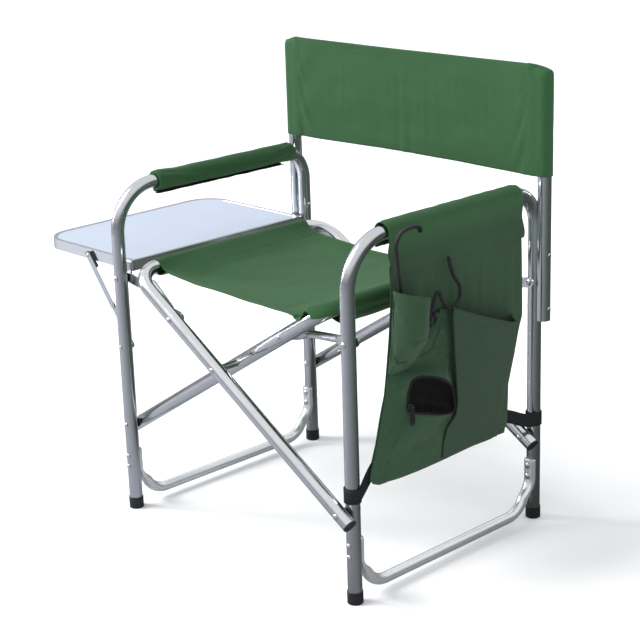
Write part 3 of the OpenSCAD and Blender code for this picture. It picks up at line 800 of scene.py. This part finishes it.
def make_back():
    """The panel between the posts."""
    cols, rows = 132, 46
    reach = POST_X - 1.0
    v, u = unit_grid(rows, cols)
    X = reach * (2 * u - 1) + 0 * v
    arch = np.clip(np.sin(np.pi * (X / (2 * reach) + 0.5)), 0, 1)
    Z = BACK_LOW + (back_top(X) - 0.4 - BACK_LOW) * v + 2.6 * arch * (1 - 2.2 * v)
    bow = np.clip(1 - (X / 292) ** 2, 0, 1)
    Y = POST_Y - 15.4 + 9.0 * bow + 0.9 * ripple(X, Z, 5, 190) * bow
    pin = np.where((np.abs(X) > SEAM_X - 4) | (v > 0.97), 1.0, 0.0)
    g = drape(np.stack([X, Y, Z], 2), pin, frames=20, cap=4, stiff=30, bending=1.5, shrink=-0.002)
    X, Y, Z = np.moveaxis(g, 2, 0)
    away = np.abs(X)
    # loose cloth pulls into faint level creases, and slanted ones beside the posts
    edge = smooth(1 - (SEAM_X - away) / 120) * smooth((SEAM_X + 2 - away) / 20)
    Y += 0.9 * edge * np.sin((Z * 0.9 + away * 0.8) / 14) * smooth((Z - 640) / 60)
    Y += 1.5 * smooth((SEAM_X - away) / 60) * ripple(X * 0.55, Z * 2.0, 8, 150)
    # over the post tops the sheet leans back with the closed end of the sleeve
    Y += 5.0 * smooth((away - 292) / 14) * smooth((Z - 824) / 14)
    ends = smooth((away - 298) / 12)
    Y += 0.9 * ends
    height, hem_width = 187, 13
    hem = smooth(1 - np.minimum(v, 1 - v) * height / hem_width)
    p = Piece()
    p.cloth(g, (1.3 + 0.9 * hem) * (1 - 0.75 * ends))
    n = grid_normals(g)
    for row in (3, rows - 4):
        p.stitches(g[row, 4:-4], n[row, 4:-4], mat=1)
        p.stitches(g[row, 12:-12] - n[row, 12:-12] * 2.1, -n[row, 12:-12], mat=1)
    panel = p.place("back_fabric", LEFT, CLOTH, ["back_panel"], green, thread)
    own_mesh(panel)


# -------------------------------------------------------------- the stretchers


def make_stretcher(side):
    """Low U-shaped tube: each end rises and flattens softly into a saddle on the leg."""
    reach, bend, level, top = 211.9, 50.0, 20.0, 118.0
    # the ring's points, matched one to one with the saddle's: two broad sides and two narrow ends
    turns = np.linspace(20, 160, 15), [173, 187], np.linspace(200, 340, 15), [353, 367]
    angles = np.radians(np.concatenate(turns))
    tube = 10.0 * np.stack([np.cos(angles), np.sin(angles)], 1)
    across = np.linspace(11.0, -11.0, 15)
    outer = [(a, LEG_Y - math.sqrt(12.8**2 - a * a) - reach) for a in across]
    inner = [(a, LEG_Y - math.sqrt(16.8**2 - a * a) - reach) for a in across[::-1]]
    saddle = np.array(outer + [(-11.4, 15.2), (-11.4, 12.2)] + inner + [(11.4, 12.2), (11.4, 15.2)])
    # the rear half of the tube's centreline as (y, z) with the direction of the ring's second axis
    half = [(reach, z, 1.0, 0.0) for z in np.linspace(top, level + bend, 28)]
    for turn in np.radians(np.linspace(3, 90, 26)):
        y, z = reach - bend * (1 - math.cos(turn)), level + bend * (1 - math.sin(turn))
        half.append((y, z, math.cos(turn), -math.sin(turn)))
    half += [(y, level, 0.0, -1.0) for y in np.linspace(reach - bend - 8, 0, 20)]
    rings = []
    for y, z, ny, nz in half:
        flat = smooth((z - 44) / 36)
        ring = tube * (1 - flat) + saddle * flat
        if z > top - 0.1:
            ring = ring.mean(0) + (ring - ring.mean(0)) * 0.94
        rings.append([(side * LEG_X + a, y + b * ny, z + b * nz) for a, b in ring])
    rear = np.array(rings)
    p = Piece()
    p.solid(np.concatenate([rear, rear[:-1][::-1] * (1, -1, 1)]), flip=True)
    end = "l" if side > 0 else "r"
    p.place("stretcher_tube_" + end, "frame_" + end, "polished_tube", ["stretcher_" + end], metal_along)


# -------------------------------------------------------------------- the arms

PAD_FRONT, PAD_REAR = -142, 201
ARM_BEND = 62  # radius of the arm tube's rear bend
COVER_FRONT, COVER_REAR = -154, 180


def arm_drop(y):
    """How far the arm tube has turned down at the start of its rear bend."""
    reach = max(0.0, y - (LEG_Y - ARM_BEND))
    return ARM_BEND - math.sqrt(ARM_BEND**2 - reach**2)


def make_arm_pad():
    """Padded sleeve of the right arm: a tube swollen by air pressure, tied by its end hems."""
    length = np.linspace(PAD_FRONT, PAD_REAR, 80)
    sides = 44
    angles = math.tau * np.arange(sides) / sides
    end = np.minimum(length - PAD_FRONT, PAD_REAR - length)
    g = np.zeros((len(length), sides, 3))
    for j, y in enumerate(length):
        r = 18.5 + 1.2 * smooth(end[j] / 16) - 0.9 * smooth((y - 188) / 12)
        middle = ARM_Z - 0.55 * arm_drop(y)
        g[j] = [(-LEG_X + r * math.sin(a), y, middle + r * math.cos(a)) for a in angles]
    g[..., 2] += 0.5 * ripple(g[..., 1], g[..., 0] * 3, 31, 80)
    pin = np.tile(np.where(end < 9, 1.0, 0.0)[:, None], (1, sides))
    pin[:, sides // 2 - 3 : sides // 2 + 4] = 1.0
    inner = g.copy()
    for j, y in enumerate(length):
        core = np.array([-LEG_X, y, ARM_Z - arm_drop(y)])
        inner[j] = core + unit(g[j] - core) * (TUBE + 0.7 + 1.2 * smooth((y - 170) / 14))
    g = drape(g, pin, frames=18, cap=3.2, stiff=14, bending=0.25, gravity=0.1, close_u=True, pressure=4.0)
    p = Piece()
    p.cloth(g, close_u=True, inner=inner, inner_mat=1)
    for row in (3, len(length) - 4):
        ring = closed_ring(g[row])
        p.stitches(ring, unit(ring - ring.mean(0)))
    p.place("arm_pad_fabric_r", "frame_r", CLOTH, ["arm_pad_r"], green, *FABRIC)

    # the closure strip: two flaps of hook-and-loop that meet under the arm
    p = Piece()
    for x0, x1, dz in ((-10.5, 5.0, 0.0), (-3.0, 11.5, -2.4)):
        X, Y = np.meshgrid(-LEG_X + np.linspace(x0, x1, 8), np.linspace(-140, 172, 70))
        Z = ARM_Z - 22.2 + dz + 0.014 * (X + LEG_X) ** 2 + 0.8 * ripple(Y, X * 2, 40, 70)
        p.cloth(np.stack([X, Y, Z], 2)[:, ::-1], 1.5)
    p.place("arm_strip_loops_r", "frame_r", WEBBING, ["arm_strip_r"], fluff)


def make_arm_cover():
    """Left arm: the organizer's top edge wraps the arm and closes on itself under the arm's inside."""
    ys = np.linspace(COVER_FRONT, COVER_REAR, 84)
    # across the wrap: up the inside, over the top and down the outside to the seam
    wrap = [(-15, -26), (-16.8, -10)]
    wrap += arc(19.4, 170, 0, 26)
    wrap += [(18.4, -11), (16.6, -21), (16.4, -30), (17.4, -44), (18.2, -58), (18.4, -72)]
    wrap = curve(wrap, count=66)
    g = np.zeros((len(ys), len(wrap), 3))
    for j, y in enumerate(ys):
        tight = 1.0 - 0.10 * (1 - smooth(min(y - COVER_FRONT, COVER_REAR - y) / 14))
        size = np.where(wrap[:, 1] > -12, tight, 1.0)
        g[j] = np.stack([LEG_X + wrap[:, 0] * size, y + 0 * size, ARM_Z + wrap[:, 1] * size], 1)
    X, Y, Z = np.moveaxis(g, 2, 0)
    outside = X > LEG_X
    fall = smooth((ARM_Z - Z) / 40) * outside
    # lower down the wrap lies flat on the hanging panel
    flat = panel_out(Y, Z) + 2.4 - 1.4 * smooth((ARM_Z - 62 - Z) / 10)
    tuck = smooth((ARM_Z - 32 - Z) / 26) * outside
    X[:] = X * (1 - tuck) + flat * tuck
    X += fall * (1 - tuck) * ripple(Y, Z, 51, 120)
    Z += 0.6 * ripple(Y, X * 3, 52, 60) * (1 - fall)
    edge = smooth((np.abs(Y - 16) - 120) / 44)
    X += 1.6 * fall * edge * np.sin((Z - Y * 0.5) / 9)
    p = Piece()
    p.cloth(g, 1.5, inner_mat=1)
    p.hem(g, rows=(3, -4))
    p.place("arm_cover_fabric_l", LEFT, CLOTH, ["arm_cover_l"], arm_cloth, *FABRIC)

    p = Piece()
    path = curve([(-15.2, -27), (-12, -23), (0, -19.4), (7, -18.4), (10.5, -19)], count=16)
    X, Y = np.meshgrid(LEG_X + path[:, 0], np.linspace(-136, 168, 64))
    Z = ARM_Z + path[:, 1] + 0.7 * ripple(Y, X, 55, 80)
    p.cloth(np.stack([X, Y, Z], 2)[:, ::-1], 1.6)
    p.place("arm_closure_l", LEFT, WEBBING, None, fluff)


# --------------------------------------------------------------- the organizer

PANEL_X, PANEL_LOW, PANEL_HIGH = 314.0, 203, 571
# outlines as (height, y): the panel's two edges, and the seam between the zip and the magazine pocket
LEFT_EDGE = [
    (203, -190), (210, -199), (225, -212), (244, -208), (275, -198), (356, -175), (411, -167), (450, -161),
    (521, -153), (560, -155), (607, -156),
]
RIGHT_EDGE = [(203, 129), (224, 133), (295, 137), (411, 178), (500, 177), (610, 174)]
POCKET_EDGE = [
    (204, -37), (232, -37), (258, -29), (278, -7), (300, -4), (332, -9), (384, -17), (430, -23), (476, -30),
]


def panel_out(y, z):
    """How far out the hanging cloth lies, with its slow waves."""
    wave = 2.4 * ripple(y, z * 0.5, 61, 230) + 1.3 * ripple(y * 1.5, z * 0.6, 62, 90)
    free = smooth((600 - z) / 120)
    return PANEL_X + wave * free + 2.0 * smooth((420 - z) / 200)


def make_panel():
    rows, cols = 84, 84
    v, u = unit_grid(rows, cols)
    Z = PANEL_LOW + (PANEL_HIGH - PANEL_LOW) * v + 0 * u
    Y = along(Z, LEFT_EDGE) * (1 - u) + along(Z, RIGHT_EDGE) * u
    Z = Z + 1.5 * np.sin(Y / 40) * (1 - v) ** 2
    g = np.stack([panel_out(Y, Z), Y, Z], 2)
    pin = np.where((v > 0.97) | ((v < 0.03) & ((u < 0.06) | (u > 0.94))), 1.0, 0.0)
    g = drape(g, pin, frames=16, cap=3, stiff=26, bending=2.0, shrink=-0.003)
    g[..., 0] = np.maximum(g[..., 0], PANEL_X - 2.5)
    p = Piece()
    p.cloth(g, 1.6, inner_mat=1)
    p.hem(g, cols=(2, -3))
    p.hem(g, rows=(2,))
    p.place("organizer_panel_fabric", LEFT, CLOTH, ["organizer_panel"], shaded_side_green, *FABRIC)


def make_magazine_pocket():
    rows, cols = 60, 56
    v, u = unit_grid(rows, cols)
    low = 206
    top = np.interp(u, [0, 0.35, 0.72, 0.9, 1], [477, 448, 423, 417, 419])
    Z = low + (top - low) * v
    right = along(Z, RIGHT_EDGE) - 3 - 24 * smooth(v) * smooth((Z - 330) / 90)
    Y = along(Z, POCKET_EDGE) * (1 - u) + right * u
    # the mouth stands open towards the front and lies flat at the rear
    section = 0.62 + 0.38 * np.sin(np.pi * np.clip(u / 0.75, 0, 1) * 0.5)
    open_part = 1 - smooth((u - 0.80) / 0.2)
    X = PANEL_X + 3.2 + 33 * v**1.1 * section * open_part
    waves = 1.6 * ripple(Y, Z * 0.7, 71, 130) + 0.7 * ripple(Y * 1.4, Z, 72, 55)
    X += waves * np.sin(np.pi * u) * (0.35 + 0.65 * v)
    X += 1.4 * smooth((v - 0.93) / 0.05) * open_part
    front = np.stack([X, Y, Z], 2)
    # the gusset folds back from the front's left edge to the panel
    gusset = []
    for dy, share in ((7, 0.0), (11, 0.22), (10, 0.45), (4, 0.72), (-0.2, 0.93)):
        e = front[:, 0].copy()
        e[:, 0] = PANEL_X + 2.4 + (e[:, 0] - PANEL_X - 2.4) * share
        e[:, 1] += dy * np.minimum(1, v[:, 0] * 1.6 + 0.1)
        e[:, 2] -= (1 - share) * 4 * v[:, 0]
        gusset.append(e)
    whole = np.concatenate([np.array(gusset).transpose(1, 0, 2), front], 1)
    p = Piece()
    p.cloth(whole, 1.5, inner_mat=1)
    n = grid_normals(whole)
    for row, start in ((-4, 4), (-3, 4), (2, 6)):
        p.stitches(whole[row, start:], n[row, start:])
    p.hem(whole, cols=(-3, -5))
    p.place("magazine_pocket_fabric", LEFT, CLOTH, ["magazine_pocket"], deeper_shade_green, *FABRIC)


# cross-section of the bottle pouch as (y, how far out), and the height of its mouth along y
POUCH = [
    (-150, 0), (-156, 6), (-161, 16), (-162, 28), (-159, 41), (-151, 51), (-139, 57), (-126, 57.5),
    (-114, 52), (-106, 43), (-102, 31), (-100, 18), (-95, 8), (-86, 3.4), (-66, 2.6), (-40, 2.6), (-10, 3.2),
]
POUCH_MOUTH = [(-162, 537), (-133, 531), (-103, 521), (-94, 507), (-76, 486), (-50, 475), (-10, 467)]
POUCH_LOW = 393.0


def make_pouch():
    section = curve(POUCH, count=84)
    count, rows = len(section), 64
    top = running_mean(along(section[:, 0], POUCH_MOUTH), 2)
    g = np.zeros((rows, count, 3))
    for j, t in enumerate(np.linspace(0, 1, rows)):
        z = POUCH_LOW + (top - POUCH_LOW) * t
        full = smooth((z - POUCH_LOW - 1) / 66) ** 0.85
        y = np.where(section[:, 0] < -149, -149 + (section[:, 0] + 149) * full, section[:, 0])
        y = y + (along(z, LEFT_EDGE) + 151) * smooth((-section[:, 0] - 60) / 90)
        x = panel_out(y, z) + 3.0 + section[:, 1] * (0.10 + 0.90 * full)
        g[j] = np.stack([x, y, z], 1)
    X, Y, Z = np.moveaxis(g, 2, 0)
    index = np.arange(count)
    soft = smooth((index - 3) / 12) * smooth((count - 4 - index) / 10)
    X += (1.2 * ripple(Y * 1.2, Z, 81, 70) + 0.6 * ripple(Y, Z * 1.6, 82, 34)) * soft
    # empty cloth under the bottle's place folds in slanting creases
    slant = (Y + 1.15 * Z) / 1.52
    creased = smooth((470 - Z) / 30) * soft * smooth((Z - POUCH_LOW - 1) / 20)
    X += 3.4 * np.sin((slant - 262) / 5.6) * creased
    X -= 3.0 * np.exp(-(((Z - 458) / 4.0) ** 2)) * soft
    pin = np.zeros(g.shape[:2])
    pin[:, :2] = pin[:, -12:] = 1
    pin[:8] = 1
    g = drape(g, pin, frames=14, cap=6, stiff=20, bending=0.6, shrink=-0.01)
    g[..., 0] = np.maximum(g[..., 0], panel_out(g[..., 1], g[..., 2]) + 2.6)
    p = Piece()
    p.cloth(g, 1.6, inner_mat=1)
    p.hem(g, rows=(-4, -3, 2), cols=(-3,))
    p.stitches(g[30, 8:52], grid_normals(g)[30, 8:52])
    p.place("bottle_pouch_fabric", LEFT, CLOTH, ["bottle_pouch"], shaded_side_green, *FABRIC)


# the zip pocket's mouth, as points (y, z) round its centre
MOUTH_CENTRE = np.array([-80.0, 326.0])
HOLE = [
    (-129, 371), (-116, 378), (-88, 373), (-60, 361), (-35, 344), (-20, 322), (-13, 300), (-17, 289),
    (-42, 290), (-86, 303), (-120, 315), (-131, 324), (-132, 348),
]
MOUTH = curve(HOLE, count=150, closed=True)


def mouth_ring(size):
    return MOUTH_CENTRE + (MOUTH - MOUTH_CENTRE) * size


def around(outline, centre, angles):
    """Where rays from the centre at these angles meet a closed outline."""
    q = np.array(outline, float) - centre
    e = np.roll(q, -1, 0) - q
    hits = []
    for a in angles:
        d = np.array([math.cos(a), math.sin(a)])
        turn = d[0] * e[:, 1] - d[1] * e[:, 0]
        t = (q[:, 0] * e[:, 1] - q[:, 1] * e[:, 0]) / turn
        s = (q[:, 0] * d[1] - q[:, 1] * d[0]) / turn
        met = (t > 0) & (s >= -1e-6) & (s <= 1 + 1e-6)
        hits.append(centre + d * t[met].min())
    return np.array(hits)


def lip_out(y, z):
    """How far the pocket's mouth stands out: the arched upper lip most, the lower lip sags open a little."""
    arch = smooth((z - (322 - 0.30 * (y + 75))) / 30)
    middle = np.exp(-(((y + 74) / 56.0) ** 2))
    return PANEL_X + 10 + 6 * middle + 12 * arch * middle


LIP = lip_out(MOUTH[:, 0], MOUTH[:, 1])


def make_zip_pocket():
    """The pocket's cloth, in rings from its mouth to its seams."""
    angles = np.unwrap(np.arctan2(MOUTH[:, 1] - MOUTH_CENTRE[1], MOUTH[:, 0] - MOUTH_CENTRE[0]))
    outline = [(-190, 205), (-207, 212), (-219, 228)]
    outline += [(along(z, LEFT_EDGE) + 2, z) for z in range(240, 392, 12)]
    outline += [(-160, 396), (-120, 396), (-60, 396), (-14, 394)]
    outline += [(along(z, POCKET_EDGE) - 1.5, z) for z in range(384, 205, -12)] + [(-46, 205)]
    rim = around(outline, MOUTH_CENTRE, angles)
    rings = 24
    g = np.zeros((rings, len(MOUTH), 3))
    for j, t in enumerate(np.linspace(0, 1, rings)):
        s = t**0.9
        y, z = (MOUTH * (1 - s) + rim * s).T
        x = PANEL_X + 3.0 + (LIP - PANEL_X - 3.0) * (1 - smooth(t * 1.12)) ** 1.2
        bump = 2.4 * ripple(y, z, 91, 80) + 1.1 * ripple(y * 1.5, z, 92, 36)
        x = x + bump * np.sin(np.pi * min(1.0, t * 1.05)) ** 0.5
        # a dart is sewn from the mouth's left end to the lower corner
        dart = np.abs((y + 164) * 0.905 - (z - 262) * 0.424)
        x = x - 1.6 * np.exp(-((dart / 3.0) ** 2)) * (z < 312) * (t < 0.97)
        g[j] = np.stack([x, y, z], 1)
    p = Piece()
    p.cloth(g, 1.4, close_u=True, inner_mat=1)
    n = grid_normals(g, True)
    p.stitches(closed_ring(g[-2]), closed_ring(n[-2]))
    points = g.reshape(-1, 3)
    line = []
    for t in np.linspace(0, 1, 40):
        y, z = -140 - 43 * t, 308 - 96 * t
        nearest = np.argmin(np.hypot(points[:, 1] - y, points[:, 2] - z))
        line.append((points[nearest][0] + 0.2, y, z))
    line = np.array(line)
    line[:, 0] = running_mean(line[:, 0], 3)
    p.stitches(line, (1, 0, 0))
    p.place("zip_pocket_fabric", LEFT, CLOTH, ["zip_pocket"], shaded_side_green, *FABRIC)


def make_pocket_shadow_lining():
    """A lining bag that hangs behind the mouth, folded over itself, near black: painted shadow inside the
    open pocket.
    """
    bag = []
    for t in np.linspace(0, 1, 20):
        y, z = mouth_ring(1.0 - 0.996 * t**1.3).T
        x = LIP - 1.4
        fold = 2.6 * np.sin((z + 0.45 * y) / 5.5) + 1.2 * ripple(y, z, 95, 22)
        x = x + (PANEL_X + 4.5 - x) * smooth(t * 2.6) + fold * smooth(t * 3) * smooth((1 - t) * 6)
        bag.append(np.stack([np.maximum(x, PANEL_X + 2.6), y, z], 1))
    p = Piece()
    p.cloth(np.array(bag)[::-1], 0.5, close_u=True)
    p.place("zip_pocket_shadow_lining", LEFT, WEBBING, None, lining_painted_shadow)


def make_zip_tape():
    """Zip tape round the mouth, with teeth on its inner edge."""
    band = []
    for t in np.linspace(0, 1, 6):
        x = LIP + 0.4 + 1.0 * (1 - (2 * t - 0.8) ** 2) - 1.7 * max(0, t - 0.45) ** 1.2 * 2
        band.append(np.column_stack([x, mouth_ring(0.965 + 0.085 * t)]))
    band = np.array(band)
    p = Piece()
    p.cloth(band, 1.5, close_u=True)
    n = grid_normals(band, True)
    p.stitches(closed_ring(band[4]), closed_ring(n[4]), mat=1, length=2.6, gap=1.4, radius=0.35)
    teeth = resample(closed_ring(MOUTH), spacing=2.7)
    faces = [(3, 2, 1, 0), (4, 5, 6, 7), (0, 1, 5, 4), (1, 2, 6, 5), (2, 3, 7, 6), (3, 0, 4, 7)]
    for a, b in zip(teeth[:-1], teeth[1:]):
        c = MOUTH_CENTRE + ((a + b) / 2 - MOUTH_CENTRE) * 0.955
        x = lip_out(c[0], c[1]) + 0.6
        wide, tall = unit(b - a) * 0.72, unit(c - MOUTH_CENTRE) * 1.7
        corners = (-wide - tall, wide - tall, wide + tall, tall - wide)
        box = [(x + h, *(c + corner)) for h in (-0.8, 1.0) for corner in corners]
        p.add(box, faces, [[(0, 0)] * 4] * 6, 2)
    p.place("zip_tape_and_teeth", LEFT, WEBBING, ["zip_tape"], black_web, black_cord, black_plastic)


def make_slider():
    """Zip slider with a hanging pull, at the left end of the mouth."""
    x, y, z = PANEL_X + 17.5, -131.0, 329.0
    p = Piece()
    body = []
    for t in np.linspace(0, 1, 7):
        wide, thick = 6.2 - 1.8 * t, 1.9 * (1 if abs(t - 0.5) < 0.45 else 0.6)
        ring = [
            (x + thick * math.sin(a), y + 12 * (t - 0.5), z + wide * math.cos(a))
            for a in np.arange(14) * math.tau / 14
        ]
        body.append(ring)
    p.solid(body, flip=True)
    bridge = [(x + 1.5, y - 4, z), (x + 4.2, y - 1.5, z), (x + 4.2, y + 2, z), (x + 1.5, y + 4.5, z)]
    p.tube(curve(bridge, spacing=0.8), 0.9, 8)
    half = [(-5.8, 2.4), (-5.6, 0), (-4.6, -8), (-5.4, -20), (-4.6, -27)]
    outline = half + [(0, -30)] + [(-a, b) for a, b in half[::-1]] + [(0, 4.2)]
    outline = curve(outline, count=36, closed=True)
    pull = []
    for h, k in ((2.6, 0.86), (2.9, 1.0), (4.3, 1.0), (4.6, 0.86)):
        pull.append([(x + h - 0.02 * b, y + a * k + 1, z - 14 + (b + 12) * k) for a, b in outline])
    p.solid(pull)
    p.place("zip_slider_and_pull", "zip_slider", "black_plastic", ["zip_slider"], black_plastic)


def make_cords():
    """The elastic's two ends: a hook with a knot under it, and a loop over the arm."""
    p = Piece()
    hook = [
        (324, -25, 560), (326, -23, 545), (328, -16, 526), (330, -5, 508), (331, -7, 488), (332, -24, 475),
        (333, -42, 481), (333, -53, 497), (332, -60, 511), (331, -66, 505), (332, -74, 488), (334, -80, 480),
    ]
    p.tube(curve(hook, spacing=2.0), 3.2, 12)
    knot = [
        (336, -76, 484), (339, -84, 487), (338, -89, 478), (335, -82, 471), (337, -75, 476), (339, -80, 484),
    ]
    p.tube(curve(knot, spacing=1.6), 3.0)
    p.tube(curve([(336, -82, 478), (337, -86, 468), (335, -84, 458)], spacing=2), 2.8)
    p.tube(curve([(336, -78, 478), (337, -72, 469), (335, -75, 462)], spacing=2), 2.6)
    loop = [
        (330, -100, 622), (336, -108, 630), (340, -122, 635), (341, -138, 636), (340, -153, 632),
        (338, -162, 621), (335, -163, 606), (333, -158, 583), (331, -154, 560), (328, -147, 537),
        (325, -140, 522),
    ]
    p.tube(curve(loop, spacing=2.5), 4.2, 12, squash=0.8)
    p.place("elastic_cords", LEFT, WEBBING, ["elastic_cord"], black_cord)


def make_strap(end, y, z, band, path, across, width):
    """A webbing band round the leg at y and z, and the strap from the panel's corner to it."""
    half, t = band / 2, 0.9
    shares = (-0.97, -0.6, -0.2, 0.2, 0.6, 0.97)
    shape = [(s * half, t) for s in shares] + [(half, 0)] + [(-s * half, -t) for s in shares] + [(-half, 0)]
    rings = []
    for a in np.linspace(0, math.tau, 49)[:-1]:
        out = np.array([math.cos(a), math.sin(a)])
        rings.append([(*((LEG_X, y) + (14.0 + b) * out), z + rise) for rise, b in shape])
    p = Piece()
    p.grid(np.array(rings), close_u=True, close_v=True, flip=True)
    p.ribbon(path, across, width)
    p.place(f"strap_{end}_webbing", LEFT, WEBBING, ["strap_" + end], black_web)


def make_straps():
    path = [(311.4, -198, 240), (311, -212, 224), (310.6, -223, 210), (310.3, -230, 201), (310.2, -236, 196)]
    path = curve(path, spacing=3)
    # the front strap twists from the cloth's edge to the leg's band
    twist = np.linspace(0, 1, len(path))[:, None]
    across = unit(np.array([0, -0.75, 0.66]) * (1 - twist) + np.array([0, -0.12, 0.99]) * twist)
    make_strap("front", -LEG_Y, 196.5, 26, path, across, 22)
    path = [
        (315.5, 104, 238), (316, 128, 234), (314.6, 150, 226), (312.5, 182, 211), (311, 210, 201),
        (310.4, 236, 197),
    ]
    path = curve(path, spacing=4)
    make_strap("rear", LEG_Y, 197, 25, path, np.tile((0, 0.22, 0.97), (len(path), 1)), 24)


# ----------------------------------------------------------- camera and studio


def make_camera():
    """Looks from the photo's side, down on the chair and rolled a little."""
    data = bpy.data.cameras.new("camera")
    data.lens, data.sensor_width = 93.65, 36.0
    camera = new_object("camera", data)
    turn, rise, roll = CAMERA_TURN, math.radians(17.55), math.radians(-1.88)
    back = Vector((math.sin(turn) * math.cos(rise), -math.cos(turn) * math.cos(rise), math.sin(rise)))
    level = Vector((math.cos(turn), math.sin(turn), 0))
    up = back.cross(level)
    axes = math.cos(roll) * level + math.sin(roll) * up, math.cos(roll) * up - math.sin(roll) * level, back
    place = Vector((2.09365 + SHIFT / 1000, -2.00532, 1.29680))
    camera.matrix_world = Matrix.Translation(place) @ Matrix(axes).transposed().to_4x4()
    bpy.context.scene.camera = camera


def make_floor():
    """A white floor. Metal sees a dimmer one, lighter to the camera's left than to its right."""
    reach, white = 40, (0.90, 0.90, 0.90)
    mesh = bpy.data.meshes.new("floor")
    corners = [(-reach, -reach, 0), (reach, -reach, 0), (reach, reach, 0), (-reach, reach, 0)]
    mesh.from_pydata(corners, [], [(0, 1, 2, 3)])
    m = Material("floor", white, 0.9)
    m.set("Specular IOR Level", 0.1)
    way = m.node("ShaderNodeVectorMath", p_operation="NORMALIZE", i0=m.place()).outputs[0]
    shaded = m.mix(m.rightness(way), (0.30, 0.31, 0.34), (0.05, 0.06, 0.05))
    m.set("Base Color", m.mix(m.mirrored(), white, shaded))
    mesh.materials.append(m.mat)
    new_object("floor", mesh)


def make_surroundings():
    """White for the eye; metal sees a bright sky that fades to a skyline, dim on the right."""
    world = bpy.data.worlds.new("studio")
    world.use_nodes = True
    t = Tree(world.node_tree)
    way = t.node("ShaderNodeTexCoord").outputs["Generated"]
    skyline = t.mix(t.rightness(way), (0.42, 0.43, 0.46), (0.08, 0.09, 0.08))
    height = t.xyz(way)[2]
    rise = t.node("ShaderNodeMapRange", p_interpolation_type="SMOOTHSTEP", i0=height, i1=0.05, i2=0.55)
    sky = t.mix(rise.outputs[0], skyline, (1.15, 1.17, 1.2))
    background = t.tree.nodes["Background"]
    t.tree.links.new(t.mix(t.mirrored(), (0.95, 0.97, 1.0), sky), background.inputs[0])
    background.inputs[1].default_value = 0.8
    bpy.context.scene.world = world


def aim(name, lamp, place, target, mirrored=True):
    """Hangs a lamp at a place and turns it to a target; unless mirrored, metal doesn't show it."""
    o = new_object(name, lamp)
    o.location = place
    o.rotation_mode = "QUATERNION"
    o.rotation_quaternion = (Vector(target) - Vector(place)).to_track_quat("-Z", "Y")
    o.visible_glossy = mirrored


def make_lights():
    sun = bpy.data.lights.new("sky_panel", "SUN")
    sun.energy, sun.angle = 2.3, math.radians(28)
    aim("sky_panel", sun, (-2.2, -2.4, 4.2), (0, 0, 0.4))
    for name, energy, place, height, size, mirrored in (
        ("left_panel", 60, (-2.6, -1.6, 1.6), 0.5, (0.5, 1.6), True),
        ("front_panel", 14, (2.2, -2.9, 1.9), 0.4, (1.2, 1.8), False),
        ("rear_panel", 20, (-0.6, 3.0, 2.0), 0.5, (2.0, 1.0), False),
    ):
        lamp = bpy.data.lights.new(name, "AREA")
        lamp.energy, lamp.shape = energy, "RECTANGLE"
        lamp.size, lamp.size_y = size
        aim(name, lamp, place, (0, 0, height), mirrored)


make_seat()
make_back_sleeve(1)
make_back_sleeve(-1)
make_back()
make_arm_pad()
make_arm_cover()
make_panel()
make_magazine_pocket()
make_pouch()
make_zip_pocket()
make_pocket_shadow_lining()
make_zip_tape()
make_slider()
make_cords()
make_straps()
make_stretcher(1)
make_stretcher(-1)
make_camera()
make_floor()
make_lights()
make_surroundings()
bpy.context.scene.view_settings.view_transform = "Standard"
